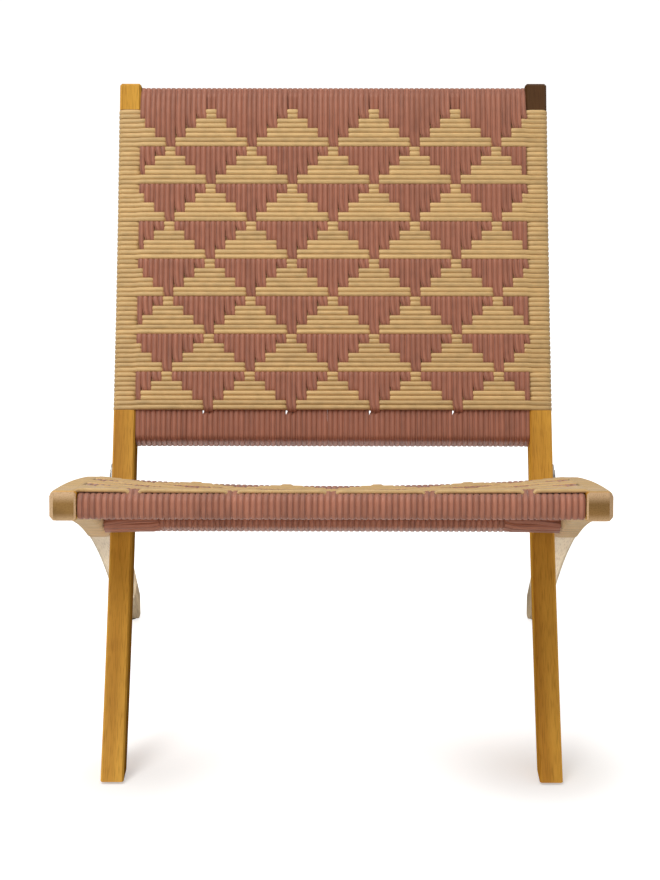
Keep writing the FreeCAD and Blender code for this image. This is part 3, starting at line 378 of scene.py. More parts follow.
POST_FOOT_FRONT = place(POST_FOOT_SETBACK, FOOT_HEIGHT)
POST_FOOT_REAR = place(POST_FOOT_SETBACK + POST_FOOT_LENGTH, FOOT_HEIGHT)
POST_HEAD_FRONT = place(POST_TOP_SETBACK, POST_TOP_HEIGHT)
POST_FRONT = bow_by_rise(POST_FOOT_FRONT, POST_HEAD_FRONT, -POST_BOW)
POST_HEAD_REAR = POST_HEAD_FRONT + POST_FRONT.outward(POST_HEAD_FRONT) * POST_HEAD_DEPTH
POST_WAIST_SPOKE = unit((POST_FOOT_FRONT + POST_HEAD_FRONT) / 2 - POST_FRONT.centre)
POST_WAIST_REAR = POST_FRONT.centre + POST_WAIST_SPOKE * (POST_FRONT.radius + POST_WAIST_DEPTH)
POST_REAR = bow_through(POST_FOOT_REAR, POST_WAIST_REAR, POST_HEAD_REAR)

NOSE_TOP = place(0.0, SEAT_FRONT_HEIGHT)
SEAT_DROP = BEND_SETBACK * math.tan((SEAT_FRONT_ANGLE + SEAT_REAR_ANGLE) / 2)
BEND_START = place(BEND_SETBACK, SEAT_FRONT_HEIGHT - SEAT_DROP)
CROWN_RADIUS = np.linalg.norm(BEND_START - NOSE_TOP) / (
    2 * math.sin((SEAT_REAR_ANGLE - SEAT_FRONT_ANGLE) / 2))
CROWN = Bow(NOSE_TOP - upright(SEAT_FRONT_ANGLE) * CROWN_RADIUS, CROWN_RADIUS)
BEND = Bow(BEND_START - upright(SEAT_REAR_ANGLE) * BEND_RADIUS, BEND_RADIUS)
CROWN_LENGTH = CROWN.distance(NOSE_TOP, BEND_START)
NOSE_LOW = NOSE_TOP - upright(SEAT_FRONT_ANGLE) * NOSE_HEIGHT
REAR_FOOT_FRONT = place(
    DEPTH - NOSE_HEIGHT * math.sin(SEAT_FRONT_ANGLE) - REAR_FOOT_LENGTH, FOOT_HEIGHT)
BELLY = bow_by_rise(NOSE_LOW, REAR_FOOT_FRONT, BELLY_RISE)
WRAP_END_LOW = BELLY.over(place(WRAP_END_SETBACK, 0.0)[0])
WRAP_END_TOP = BEND.crossing(WRAP_END_LOW, upright(WRAP_END_ANGLE))


def post_station(reach):
    """Front face of the post at a reach, and the unit vector to the rear there."""
    spot = POST_FRONT.along(POST_HEAD_FRONT, reach)
    return spot, POST_FRONT.outward(spot)


def post_depth(reach):
    spot, rear = post_station(reach)
    return float(np.linalg.norm(POST_REAR.crossing(spot, rear) - spot))


def seat_station(distance):
    """Top edge of the seat side at a distance from its nose, and the way up there."""
    if distance <= CROWN_LENGTH:
        spot = CROWN.along(NOSE_TOP, distance)
        return spot, CROWN.outward(spot)
    spot = BEND.along(BEND_START, distance - CROWN_LENGTH)
    return spot, BEND.outward(spot)


def tilt_of(rear):
    return math.atan2(-rear[1], rear[0])


SEAT_SLANT = math.cos((SEAT_FRONT_ANGLE + SEAT_REAR_ANGLE) / 2)
SEAT_WEAVE_START = SIDE_BLOCK / SEAT_SLANT
SEAT_ROW = SEAT_PITCH / SEAT_SLANT
BACK_WEAVE_END = HEAD_BLOCK + BACK_ROWS * BACK_PITCH
SEAT_WEAVE_END = SEAT_WEAVE_START + SEAT_ROWS * SEAT_ROW


def sag(x, distance):
    """How far the seat hangs below its sides at a place."""
    share = (distance - SEAT_WEAVE_START) / (SEAT_WEAVE_END - SEAT_WEAVE_START)
    drop = SAG_START + SAG_GROWTH * share - SAG_RECOVERY * share ** 2
    return max(0.0, 1 - (x / SAG_HALF_WIDTH) ** 2) * max(drop, 0.0)


# Rails, each as its centre, its tilt and the half sizes of its cords' centre line


class Rail:
    """Wrapped rail of the side view."""

    def __init__(self, centre, tilt, section, lift=0.0):
        self.centre = centre
        self.rear = rearward(tilt)
        self.up = upright(tilt)
        self.half_depth = section[0] / 2 + CORD / 2 + lift
        self.half_height = section[1] / 2 + CORD / 2 + lift
        self.round = RAIL_ROUND + CORD / 2 + lift

    def turns(self, *corners):
        """Path of a cord that goes past corners, each given as its rear and up signs.

        The first and last corner only give where the cord starts and ends.
        """
        path = []
        for number, (across, up) in enumerate(corners):
            inner = (self.centre
                     + self.rear * across * (self.half_depth - self.round)
                     + self.up * up * (self.half_height - self.round))
            level = self.up * up
            square = self.rear * across
            if number == 0:
                leaves_level = corners[1][1] == up
                path.append(inner + (level if leaves_level else square) * self.round)
                continue
            comes_level = corners[number - 1][1] == up
            first, last = (level, square) if comes_level else (square, level)
            if number == len(corners) - 1:
                path.append(inner + first * self.round)
                continue
            for step in range(RAIL_CORNER_STEPS + 1):
                turn = step / RAIL_CORNER_STEPS * math.pi / 2
                path.append(inner + (first * math.cos(turn) + last * math.sin(turn)) * self.round)
        return path


def back_rail(reach, section):
    face, rear = post_station(reach)
    centre = face + rear * (RAIL_SET + CORD + section[0] / 2)
    return Rail(centre, tilt_of(rear), section)


TOP_RAIL_REACH = TOP_RAIL_DROP + TOP_RAIL[1] / 2 + CORD
INNER_WRAP_REACH = TOP_RAIL_DROP + TOP_RAIL[1] + 2 * CORD
LOWER_RAIL_REACH = BACK_WEAVE_END + LOWER_RAIL_GAP + LOWER_RAIL[1] / 2 + CORD
PIVOT = np.array(frame["record"]["behaviour"]["joints"][0]["pos_m"][1:])
PIVOT_REAR = POST_FRONT.outward(PIVOT)
PIVOT_UP = upright(tilt_of(PIVOT_REAR))
FRONT_RAIL_CENTRE = (
    NOSE_TOP
    + rearward(SEAT_FRONT_ANGLE) * (RAIL_SET + CORD + FRONT_RAIL[0] / 2)
    - upright(SEAT_FRONT_ANGLE) * (RAIL_SET + CORD + FRONT_RAIL[1] / 2))
REAR_RAIL_CENTRE = (
    PIVOT
    - PIVOT_REAR * (PIVOT_INSET + STOP_CLEARANCE + REAR_RAIL[0] / 2 + CORD)
    - PIVOT_UP * (REAR_RAIL_DROP + REAR_RAIL[1] / 2 + CORD))


# Weave pattern


def units_off_apex(unit_number, row_pair):
    """How many units lie between a unit and the middle of the nearest triangle."""
    apex = REPEAT // 2 if (row_pair // STEPS) % 2 == 0 else 0
    return abs((unit_number - apex + REPEAT // 2) % REPEAT - REPEAT // 2)


def straw_on_top(unit_number, row_pair):
    """Whether the straw pair lies over the rose pair of a unit in the back."""
    return units_off_apex(unit_number, row_pair) <= row_pair % STEPS


def straw_on_seat(unit_number, row_pair):
    """The same for the seat, where the triangles point to the rear."""
    return units_off_apex(unit_number, row_pair) <= STEPS - 1 - row_pair % STEPS


class Run:
    """Cord across a panel: its stations, its heights and how far it is pushed aside."""

    def __init__(self):
        self.stations = []
        self.heights = []
        self.slips = []

    def add(self, station, height, slip=0.0):
        self.stations.append(station)
        self.heights.append(height)
        self.slips.append(slip)

    def places(self):
        return zip(self.stations, self.heights, self.slips)


def weave_run(cells, slope, tuck=0.0):
    """Run through cells, each its start, its end, the cord's height and its slip at the end.

    The cord runs on by the tuck before it dives at the end of a stretch where it lies on top.
    """
    run = Run()
    for number, (start, end, height, slip) in enumerate(cells):
        following = cells[number + 1][2] if number + 1 < len(cells) else height
        run.add((start + end) / 2, height, EARLY_SLIP * slip)
        if following != height:
            middle = (height + following) / 2
            swing = (following - height) / 2
            turn = end + tuck if height > following else end - tuck
            for share in (-1.0, -0.5, 0.0, 0.5, 1.0):
                run.add(turn + slope * share,
                        middle + swing * math.sin(math.pi / 2 * share), slip)
    return run


# Cord meshes


def add_object(name, data):
    made = bpy.data.objects.new(name, data)
    bpy.context.scene.collection.objects.link(made)
    return made


class CordSet:
    """Gathers the paths of one group of cords and turns them into a mesh of tubes."""

    SIDES = 8
    TIP_REACH = 0.4
    TIP_GIRTH = 0.15
    LONGEST_START = 50.0

    def __init__(self, name, sizes, width):
        self.name = name
        self.half_thickness = sizes.thickness / 2
        self.half_width = width / 2
        self.square = sizes.square
        self.wander = sizes.wander
        self.chance = random.Random(f"{name} {sizes.seed}")
        self.vertices = []
        self.faces = []
        self.winding = []
        self.tones = []

    def stray(self):
        return self.chance.uniform(-self.wander, self.wander)

    def lay(self, points, side):
        """Add a cord along points, with a side vector that it never runs along."""
        path = np.array(points, dtype=float)
        ahead = np.vstack([path[1:], path[-1:]])
        behind = np.vstack([path[:1], path[:-1]])
        tangent = ahead - behind
        tangent /= np.linalg.norm(tangent, axis=1)[:, None]
        side = np.broadcast_to(np.asarray(side, dtype=float), path.shape)
        first = side - tangent * np.sum(side * tangent, axis=1)[:, None]
        first /= np.linalg.norm(first, axis=1)[:, None]
        second = np.cross(tangent, first)
        tip = self.half_thickness * self.TIP_REACH
        path = np.vstack([path[:1] - tangent[:1] * tip, path, path[-1:] + tangent[-1:] * tip])
        first = np.vstack([first[:1], first, first[-1:]])
        second = np.vstack([second[:1], second, second[-1:]])
        girth = np.ones(len(path))
        girth[0] = girth[-1] = self.TIP_GIRTH
        turns = (np.arange(self.SIDES) + 0.5) * 2 * math.pi / self.SIDES
        outline = np.stack([np.cos(turns), np.sin(turns)])
        outline = np.sign(outline) * np.abs(outline) ** self.square
        outline /= outline.max(axis=1)[:, None]
        ring = (first[:, None, :] * self.half_width * outline[0][None, :, None]
                + second[:, None, :] * self.half_thickness * outline[1][None, :, None])
        rings = path[:, None, :] + ring * girth[:, None, None]
        base = sum(len(block) for block in self.vertices)
        self.vertices.append(rings.reshape(-1, 3))
        count = len(path)
        rows = np.arange(count - 1)[:, None] * self.SIDES
        columns = np.arange(self.SIDES)[None, :]
        following = (columns + 1) % self.SIDES
        quads = np.stack([
            rows + columns, rows + self.SIDES + columns,
            rows + self.SIDES + following, rows + following], axis=-1)
        self.faces.append(quads.reshape(-1, 4) + base)
        steps = np.linalg.norm(np.diff(path, axis=0), axis=1)
        length = np.concatenate([[0.0], np.cumsum(steps)]) / (2 * self.half_width)
        length += self.chance.uniform(0.0, self.LONGEST_START)
        near = np.repeat(length[:-1], self.SIDES)
        far = np.repeat(length[1:], self.SIDES)
        low = np.tile(np.arange(self.SIDES) / self.SIDES, count - 1)
        high = low + 1 / self.SIDES
        corners = np.stack([near, low, far, low, far, high, near, high], axis=-1)
        self.winding.append(corners.reshape(-1, 2))
        self.tones.append(np.full(count * self.SIDES, self.chance.random()))

    def build(self, material, body, node):
        mesh = bpy.data.meshes.new(self.name)
        mesh.from_pydata(np.vstack(self.vertices).tolist(), [],
                         np.vstack(self.faces).tolist())
        layer = mesh.uv_layers.new(name="Winding")
        layer.data.foreach_set("uv", np.vstack(self.winding).ravel())
        tone = mesh.attributes.new("Tone", "FLOAT", "POINT")
        tone.data.foreach_set("value", np.concatenate(self.tones))
        mesh.shade_smooth()
        mesh.materials.append(material)
        piece = add_object(self.name, mesh)
        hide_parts(node)
        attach(piece, body)
        return piece


def across(x, spot):
    """Point of the chair from its X and its place in the side view."""
    return (x, spot[0], spot[1])


def section_corner(centre, first, last, radius):
    """Round corner of a wrap's path, between two unit vectors of its section."""
    return [centre + (first * math.cos(turn) + last * math.sin(turn)) * radius
            for turn in (0.0, math.pi / 6, math.pi / 3, math.pi / 2)]


def wrap_section(inner, outer, depth, has_inner_run):
    """Path of a wrap in its own section, as pairs of X and depth below the face.

    It comes from the panel over the face, goes round the outside and, where nothing is
    in its way, comes back up the inside.
    """
    corner = WRAP_CORNER
    low = WRAP_SINK
    outside = outer - WRAP_SINK
    inside = inner + WRAP_SINK
    right = np.array([1.0, 0.0])
    down = np.array([0.0, 1.0])
    path = [np.array([inside + corner, low])]
    path += section_corner(np.array([outside - corner, low + corner]), -down, right, corner)
    path += section_corner(
        np.array([outside - corner, depth - low - corner]), right, down, corner)
    if has_inner_run:
        path += section_corner(
            np.array([inside + corner, depth - low - corner]), down, -right, corner)
        path += [np.array([inside, low + share * corner]) for share in WRAP_INNER_ENDS]
    else:
        path.append(np.array([inside + corner, depth - low]))
    return path


# Pieces


def lay_back_weft(cords, sizes):
    """Straw cords across the back and round both posts."""
    half_units = (BACK_UNITS + 0.5) * BACK_UNIT
    for row in range(BACK_ROWS):
        pair, second = divmod(row, 2)
        middle = HEAD_BLOCK + (pair + 0.5) * 2 * BACK_PITCH
        lean = 1 if second else -1
        cells = []
        for number in range(-BACK_UNITS - 1, BACK_UNITS + 2):
            height = OVER if straw_on_top(number, pair) else UNDER
            start = max((number - 0.5) * BACK_UNIT, -half_units - EDGE_LANE)
            end = min((number + 0.5) * BACK_UNIT, half_units + EDGE_LANE)
            cells.append((start, end, height, 0.0))
        run = weave_run(cells, sizes.slope, sizes.tuck)
        offset = cords.stray()
        shape = wrap_section(POST_INNER, POST_OUTER, post_depth(middle),
                             middle - BACK_PITCH > INNER_WRAP_REACH)
        points = []
        for mirror in (-1, 1):
            wrap = []
            for number, (x, depth) in enumerate(shape):
                drift = BACK_PITCH / 2 * max(0, number - WRAP_DRIFT_FROM) / len(shape)
                reach = middle + lean * BACK_PITCH / 2 + offset + drift
                spot, rear = post_station(reach)
                wrap.append(across(mirror * x, spot + rear * depth))
            if mirror == -1:
                points += wrap[::-1]
                spot, rear = post_station(middle + lean * BACK_PITCH / 2 + offset)
                points += [across(x, spot - rear * height) for x, height, _ in run.places()]
            else:
                points += wrap
        _, rear = post_station(middle)
        cords.lay(points, (0.0, -rear[1], rear[0]))


def lay_back_warp(cords, sizes):
    """Rose cords down the back, wound round the top and lower rails."""
    top = back_rail(TOP_RAIL_REACH, TOP_RAIL)
    lower = back_rail(LOWER_RAIL_REACH, LOWER_RAIL)
    top_turn = top.turns((-1, -1), (1, -1), (1, 1), (-1, 1), (-1, -1))
    lower_turn = lower.turns((-1, 1), (-1, -1), (1, -1), (1, 1), (-1, 1))
    edge = (BACK_UNITS + 0.5) * BACK_UNIT + EDGE_LANE / 2
    lanes = [(-BACK_UNITS - 1, 0, -edge), (BACK_UNITS + 1, 0, edge)]
    for number in range(-BACK_UNITS, BACK_UNITS + 1):
        for lean in (-1, 1):
            lanes.append((number, lean, number * BACK_UNIT))
    for number, lean, middle in lanes:
        lean_share = (1 - LEAN_SLIP * lean) / (1 + LEAN_SLIP)
        cells = []
        for pair in range(BACK_ROWS // 2):
            start = HEAD_BLOCK + pair * 2 * BACK_PITCH
            on_top = not straw_on_top(number, pair)
            step = on_top and straw_on_top(number, pair + 1) and not straw_on_top(
                number - 1, pair + 1)
            cells.append((start, start + 2 * BACK_PITCH, OVER if on_top else UNDER,
                          sizes.slip * lean_share if step else 0.0))
        cells.append((BACK_WEAVE_END, BACK_WEAVE_END + BACK_RUN_OUT, UNDER, 0.0))
        run = weave_run(cells, sizes.slope)
        offset = cords.stray()
        x = middle + lean * BACK_UNIT / 4 + offset
        points = [across(x, spot) for spot in top_turn[:-1]]
        first = cells[0][2]
        for share in (0.25, 0.5, 0.75):
            reach = TOP_RAIL_DROP + share * (HEAD_BLOCK - TOP_RAIL_DROP)
            spot, rear = post_station(reach)
            rise = RAIL_FRONT + (first - RAIL_FRONT) * share ** 1.5
            points.append(across(x, spot - rear * rise))
        for reach, height, slip in run.places():
            spot, rear = post_station(reach)
            points.append(across(x + slip, spot - rear * height))
        points += [across(x, spot) for spot in lower_turn[1:]]
        cords.lay(points, (1.0, 0.0, 0.0))


def lay_seat_weft(cords, sizes):
    """Straw cords across the seat and round both sides, on to the end of the wraps."""
    half_units = (SEAT_UNITS + 0.5) * SEAT_UNIT
    top_length = CROWN_LENGTH + BEND.distance(BEND_START, WRAP_END_TOP) - SEAT_WEAVE_START
    rows = round(top_length / SEAT_ROW)
    start_low = BELLY.crossing(*seat_station(SEAT_WEAVE_START))
    low_length = BELLY.distance(start_low, WRAP_END_LOW)
    rail_clear = (SIDE_BLOCK + FRONT_RAIL_CLEAR) / SEAT_SLANT
    for row in range(rows):
        woven = row < SEAT_ROWS
        pair = row // 2
        step = top_length / rows
        distance = SEAT_WEAVE_START + (row + 0.5) * step
        distance += cords.stray()
        top, up = seat_station(distance)
        low = BELLY.along(start_low, (row + 0.5) / rows * low_length)
        depth = float(np.linalg.norm(low - top))
        down = unit(low - top)
        shape = wrap_section(SIDE_INNER, SIDE_OUTER, depth, distance > rail_clear)
        left = [across(-x, top + down * deep) for x, deep in shape]
        right = [across(x, top + down * deep) for x, deep in shape]
        normal = (0.0, -down[1], down[0])
        if not woven:
            end = top + down * WRAP_END_DEPTH
            cords.lay(left[::-1] + [across(-SIDE_INNER - WRAP_EDGE, end)], normal)
            cords.lay([across(SIDE_INNER + WRAP_EDGE, end)] + right, normal)
            continue
        cells = [(-SIDE_INNER + WRAP_EDGE, -half_units, OVER, 0.0)]
        for number in range(-SEAT_UNITS, SEAT_UNITS + 1):
            height = OVER if straw_on_seat(number, pair) else UNDER
            start = (number - 0.5) * SEAT_UNIT
            cells.append((start, start + SEAT_UNIT, height, 0.0))
        cells.append((half_units, SIDE_INNER - WRAP_EDGE, OVER, 0.0))
        run = weave_run(cells, sizes.slope, sizes.tuck)
        points = left[::-1]
        for x, height, _ in run.places():
            points.append(across(x, top + up * (height - sag(x, distance))))
        points += right
        cords.lay(points, normal)


def lay_seat_warp(cords, sizes):
    """Rose cords from the front to the rear of the seat, wound round both its rails."""
    front = Rail(FRONT_RAIL_CENTRE, SEAT_FRONT_ANGLE, FRONT_RAIL)
    front.round += FRONT_ROUND
    rear = Rail(REAR_RAIL_CENTRE, tilt_of(PIVOT_REAR), REAR_RAIL)
    front_turn = front.turns((1, 1), (1, -1), (-1, -1), (-1, 1), (1, 1))
    rear_turn = rear.turns((-1, -1), (-1, 1), (1, 1), (1, -1), (-1, -1), (-1, 1))
    for number in range(-SEAT_UNITS, SEAT_UNITS + 1):
        cells = []
        for pair in range(SEAT_ROWS // 2):
            start = SEAT_WEAVE_START + pair * 2 * SEAT_ROW
            height = UNDER if straw_on_seat(number, pair) else SEAT_ROSE_OVER
            cells.append((start, start + 2 * SEAT_ROW, height, 0.0))
        for lean in (-1, 1):
            run = weave_run(cells, sizes.slope)
            offset = cords.stray()
            middle = number * SEAT_UNIT
            edge = middle + lean * SEAT_UNIT / 4 + offset
            points = [across(edge, spot) for spot in front_turn[:-1]]
            for distance, height, _ in run.places():
                spot, rise = seat_station(distance)
                points.append(across(edge, spot + rise * (height - sag(edge, distance))))
            spot, rise = seat_station(SEAT_WEAVE_END + SEAT_RUN_OUT)
            last = UNDER - RUN_OUT_DROP - sag(edge, SEAT_WEAVE_END)
            points.append(across(edge, spot + rise * last))
            points += [across(edge, spot) for spot in rear_turn[1:]]
            cords.lay(points, (1.0, 0.0, 0.0))
    for mirror in (-1, 1):
        for number in range(END_STRANDS):
            lay_end_strand(cords, mirror, number)


def lay_end_strand(cords, mirror, number):
    """Loose strand along the lower front of the rear rail, from the side to the wraps."""
    rail = Rail(REAR_RAIL_CENTRE, tilt_of(PIVOT_REAR), REAR_RAIL, STRAND_LIFT)
    ring = np.array(rail.turns((-1, 1), (-1, -1), (1, -1)))
    lengths = np.concatenate([[0.0], np.cumsum(np.linalg.norm(np.diff(ring, axis=0), axis=1))])
    corner = (lengths[1] + lengths[-2]) / 2

    def ring_spot(distance):
        return np.array([np.interp(distance, lengths, ring[:, axis]) for axis in (0, 1)])

    at = corner + (number - 1.5) * STRAND_SPACING
    points = []
    sides = []
    for share in (0.0, 0.12, 0.35, 0.6, 0.85, 0.96, 1.0):
        x = SIDE_INNER - STRAND_GAP - share * (END_REACH + STRAND_STAGGER * number)
        here = at - STRAND_SLANT * share + STRAND_WAVE * math.sin(5 * share + 2 * number)
        sunk = STRAND_LIFT * max(0.0, share - STRAND_DIVE) / (1 - STRAND_DIVE)
        spot = ring_spot(here)
        points.append(across(mirror * x, spot + unit(rail.centre - spot) * sunk))
        along = unit(ring_spot(here + 0.002) - ring_spot(here - 0.002))
        sides.append((0.0, along[0], along[1]))
    cords.lay(points, sides)


# Finishes


class Nodes:
    """Short ways to add and join the nodes of a tree."""

    def __init__(self, tree):
        self.tree = tree

    def node(self, kind, **settings):
        made = self.tree.nodes.new("ShaderNode" + kind)
        for key, value in settings.items():
            setattr(made, key, value)
        return made

    def join(self, source, target):
        self.tree.links.new(source, target)

    def feed(self, socket, value):
        """Link a socket to an output, or set it to a plain value."""
        if isinstance(value, bpy.types.NodeSocket):
            self.join(value, socket)
        else:
            socket.default_value = value

    def math(self, operation, *values):
        made = self.node("Math", operation=operation)
        for socket, value in zip(made.inputs, values):
            self.feed(socket, value)
        return made.outputs[0]

    def slide(self, value, low, high, start=0.0, end=1.0, kind="SMOOTHSTEP"):
        """Value that goes from start to end while another goes from low to high."""
        made = self.node("MapRange", interpolation_type=kind)
        self.join(value, made.inputs["Value"])
        for name, limit in (("From Min", low), ("From Max", high),
                            ("To Min", start), ("To Max", end)):
            made.inputs[name].default_value = limit
        return made.outputs[0]

    def parts(self, vector):
        """X, Y and Z of a vector."""
        made = self.node("SeparateXYZ")
        self.join(vector, made.inputs[0])
        return made.outputs

    def vector(self, *values):
        made = self.node("CombineXYZ")
        for socket, value in zip(made.inputs, values):
            self.feed(socket, value)
        return made.outputs[0]

    def stretched(self, vector, scale):
        made = self.node("Mapping")
        made.inputs["Scale"].default_value = scale
        self.join(vector, made.inputs["Vector"])
        return made.outputs[0]

    def noise(self, vector, scale, detail=3.0, roughness=0.5):
        made = self.node("TexNoise")
        self.join(vector, made.inputs["Vector"])
        made.inputs["Scale"].default_value = scale
        made.inputs["Detail"].default_value = detail
        made.inputs["Roughness"].default_value = roughness
        return made.outputs["Fac"]

    def ramp(self, value, *stops):
        """Colour that follows a value through stops, each given as its place and colour."""
        made = self.node("ValToRGB")
        elements = made.color_ramp.elements
        while len(elements) < len(stops):
            elements.new(0.5)
        for element, (where, colour) in zip(elements, stops):
            element.position = where
            element.color = (*colour, 1.0)
        self.join(value, made.inputs["Fac"])
        return made.outputs["Color"]

    def mix(self, share, first, second, blend="MIX"):
        made = self.node("Mix", data_type="RGBA", blend_type=blend)
        self.feed(made.inputs["Factor"], share)
        for socket, value in ((made.inputs[6], first), (made.inputs[7], second)):
            plain = not isinstance(value, bpy.types.NodeSocket)
            self.feed(socket, (*value, 1.0) if plain else value)
        return made.outputs[2]

    def toned_down(self, colour, share, darkest=BLACK):
        """The colour times a tone that goes from the darkest to white as the share goes to 1."""
        return self.mix(1.0, colour, self.ramp(share, (0.0, darkest), (1.0, WHITE)), "MULTIPLY")


class Finish(Nodes):
    """Material under construction, on the shader that it starts with."""

    def __init__(self, name):
        self.material = bpy.data.materials.new(name)
        self.material.use_nodes = True
        super().__init__(self.material.node_tree)
        self.shader = self.tree.nodes["Principled BSDF"]

    def coordinate(self, kind="Object"):
        return self.node("TexCoord").outputs[kind]

    def bump(self, height, strength, distance):
        made = self.node("Bump")
        made.inputs["Strength"].default_value = strength
        made.inputs["Distance"].default_value = distance
        self.join(height, made.inputs["Height"])
        self.join(made.outputs["Normal"], self.shader.inputs["Normal"])


def scaled(colour, factor):
    return tuple(min(1.0, part * factor) for part in colour)


def cord_finish(name, colour, groove_and_shade, sheen):
    """Smooth, tightly laid cord with fine lines along it, each cord of its own tone, and grooved
    along between its plies, with painted shade down its grooves.
    """
    finish = Finish(name)
    winding = finish.node("UVMap", uv_map="Winding").outputs["UV"]
    lines = finish.noise(finish.stretched(winding, (0.05, 9.0, 1.0)), 1.6, 3.0, 0.6)
    blotches = finish.noise(winding, 0.35, 2.0)
    tone = finish.node("Attribute", attribute_name="Tone").outputs["Fac"]
    shade = finish.math("MULTIPLY_ADD", tone, 0.16, finish.math(
        "MULTIPLY_ADD", blotches, 0.38, finish.math("MULTIPLY", lines, 0.45)))
    dye = finish.ramp(shade, (0.28, scaled(colour, 0.68)), (0.5, scaled(colour, 0.97)),
                      (0.72, scaled(colour, 1.2)))
    drift = finish.noise(winding, 0.12, 1.0)
    around = finish.math("MULTIPLY_ADD", drift, 0.1, finish.math(
        "MULTIPLY_ADD", finish.parts(winding)[1], 2.0, -0.05))
    middle = finish.math("ABSOLUTE", finish.math(
        "SUBTRACT", finish.math("FRACT", around), 0.5))
    # Painted shade: the two grooves along each cord are darkened as well as sunk, more so where
    # they are deeper.
    ply_groove_and_shade = finish.slide(middle, 0.0, 0.10, 1.0 - groove_and_shade)
    dye = finish.toned_down(dye, ply_groove_and_shade, (0.35, 0.3, 0.3))
    finish.join(dye, finish.shader.inputs["Base Color"])
    finish.shader.inputs["Roughness"].default_value = 0.46
    finish.shader.inputs["Specular IOR Level"].default_value = 0.35
    finish.shader.inputs["Sheen Weight"].default_value = sheen
    finish.bump(finish.math("ADD", lines, ply_groove_and_shade), 0.5, 0.0006)
    return finish.material


def nose_face(finish, tone, bands, spot, normal, end_grain):
    """The tone with end grain on the seat sides' front ends, dark amid a paler rim that is a
    painted highlight on their rounded edges.
    """
    height = finish.math("ABSOLUTE", finish.math(
        "DIVIDE", finish.math("SUBTRACT", spot[2], NOSE_MIDDLE), NOSE_HALF))
    inside = finish.math("MULTIPLY", finish.slide(normal[1], -0.75, -0.98),
                         finish.slide(height, 1.0, 0.25))
    # Painted highlight: a paler band round the dark end grain, where light catches the rounded
    # edges.
    painted_rim_highlight = tuple(0.2 + 1.6 * channel for channel in end_grain)
    grain = finish.ramp(bands, (0.0, scaled(end_grain, 0.8)), (1.0, end_grain))
    there = finish.math("MULTIPLY", finish.slide(normal[1], -0.15, -0.5),
                        finish.slide(spot[1], NOSE_BACK, NOSE_BACK - NOSE_FADE))
    return finish.mix(there, tone, finish.mix(inside, painted_rim_highlight, grain))


def wood_finish(name, bow, light, dark, stain_or_painted_glare=None, inner=1.0, end_grain=None):
    """Oiled hardwood whose grain follows the bow of its member.

    The fifth argument, if given, is an axis, where it starts and ends on that axis, and its
    colour: real staining, or painted glare that pales a part as strong light would. With inner
    below 1, that share tones down the faces that look towards the middle of the chair as
    painted shade, and the edges that look away from it get a painted highlight.
    """
    finish = Finish(name)
    place_on = finish.coordinate()
    spot = finish.parts(place_on)
    y = finish.math("SUBTRACT", spot[1], float(bow.centre[0]))
    z = finish.math("SUBTRACT", spot[2], float(bow.centre[1]))
    squares = finish.math("ADD", finish.math("MULTIPLY", y, y), finish.math("MULTIPLY", z, z))
    depth = finish.math("SUBTRACT", finish.math("SQRT", squares), bow.radius)
    length = finish.math("MULTIPLY", finish.math("ARCTAN2", z, y), bow.radius)
    grain = finish.vector(spot[0], depth, finish.math("MULTIPLY", length, 0.05))
    warp = finish.noise(grain, 34.0, 3.0)
    rings = finish.math("ADD", finish.math("MULTIPLY", depth, 150.0),
                        finish.math("ADD", finish.math("MULTIPLY", spot[0], 60.0),
                                    finish.math("MULTIPLY", warp, 5.5)))
    bands = finish.math("MULTIPLY_ADD", finish.math("SINE", rings), 0.5, 0.5)
    pores = finish.noise(grain, 900.0, 2.0)
    mottle = finish.noise(place_on, 9.0, 3.0)
    between = tuple((a + b) / 2 for a, b in zip(light, dark))
    tone = finish.ramp(bands, (0.0, dark), (0.3, between), (1.0, light))
    normal = finish.parts(finish.coordinate("Normal"))
    outward = finish.math("MULTIPLY", normal[0], finish.math("SIGN", spot[0]))
    # Painted highlight: edges that look away from the middle of the chair are brightened towards a
    # lighter wood tone.
    if inner < 1.0:
        painted_edge_highlight = finish.slide(outward, 0.3, 0.75, 0.0, 0.5)
        tone = finish.mix(painted_edge_highlight, tone, scaled(light, 1.25))
    # The fifth argument darkens the right post's head with real staining, or pales the seat sides'
    # rear ends with painted glare.
    if stain_or_painted_glare:
        axis, start, end, stain_or_glare_colour = stain_or_painted_glare
        stained_or_glared = finish.ramp(bands, (0.0, scaled(stain_or_glare_colour, 0.75)), (1.0, stain_or_glare_colour))
        tone = finish.mix(finish.slide(spot[axis], start, end), tone, stained_or_glared)
    if end_grain:
        tone = nose_face(finish, tone, bands, spot, normal, end_grain)
    # Painted shade: faces that look towards the middle of the chair are darkened down to the share
    # given as inner.
    if inner < 1.0:
        tone = finish.toned_down(tone, finish.slide(outward, -0.95, -0.5, inner))
    streaks = finish.ramp(pores, (0.36, (0.72, 0.66, 0.6)), (0.5, WHITE))
    patches = finish.ramp(mottle, (0.3, (0.84, 0.8, 0.74)), (0.65, (1.06, 1.04, 1.0)))
    colour = finish.mix(0.75, tone, streaks, "MULTIPLY")
    colour = finish.mix(1.0, colour, patches, "MULTIPLY")
    finish.join(colour, finish.shader.inputs["Base Color"])
    finish.join(finish.math("MULTIPLY_ADD", pores, -0.18, 0.5),
                finish.shader.inputs["Roughness"])
    # Reflections are turned down on those inward faces too, so that their painted shade stays
    # dark.
    finish.join(finish.slide(outward, -0.8, -0.2, 0.0, 0.12, kind="LINEAR"),
                finish.shader.inputs["Specular IOR Level"])
    finish.bump(finish.math("ADD", pores, finish.math("MULTIPLY", bands, 0.3)), 0.2, 0.0003)
    return finish.material


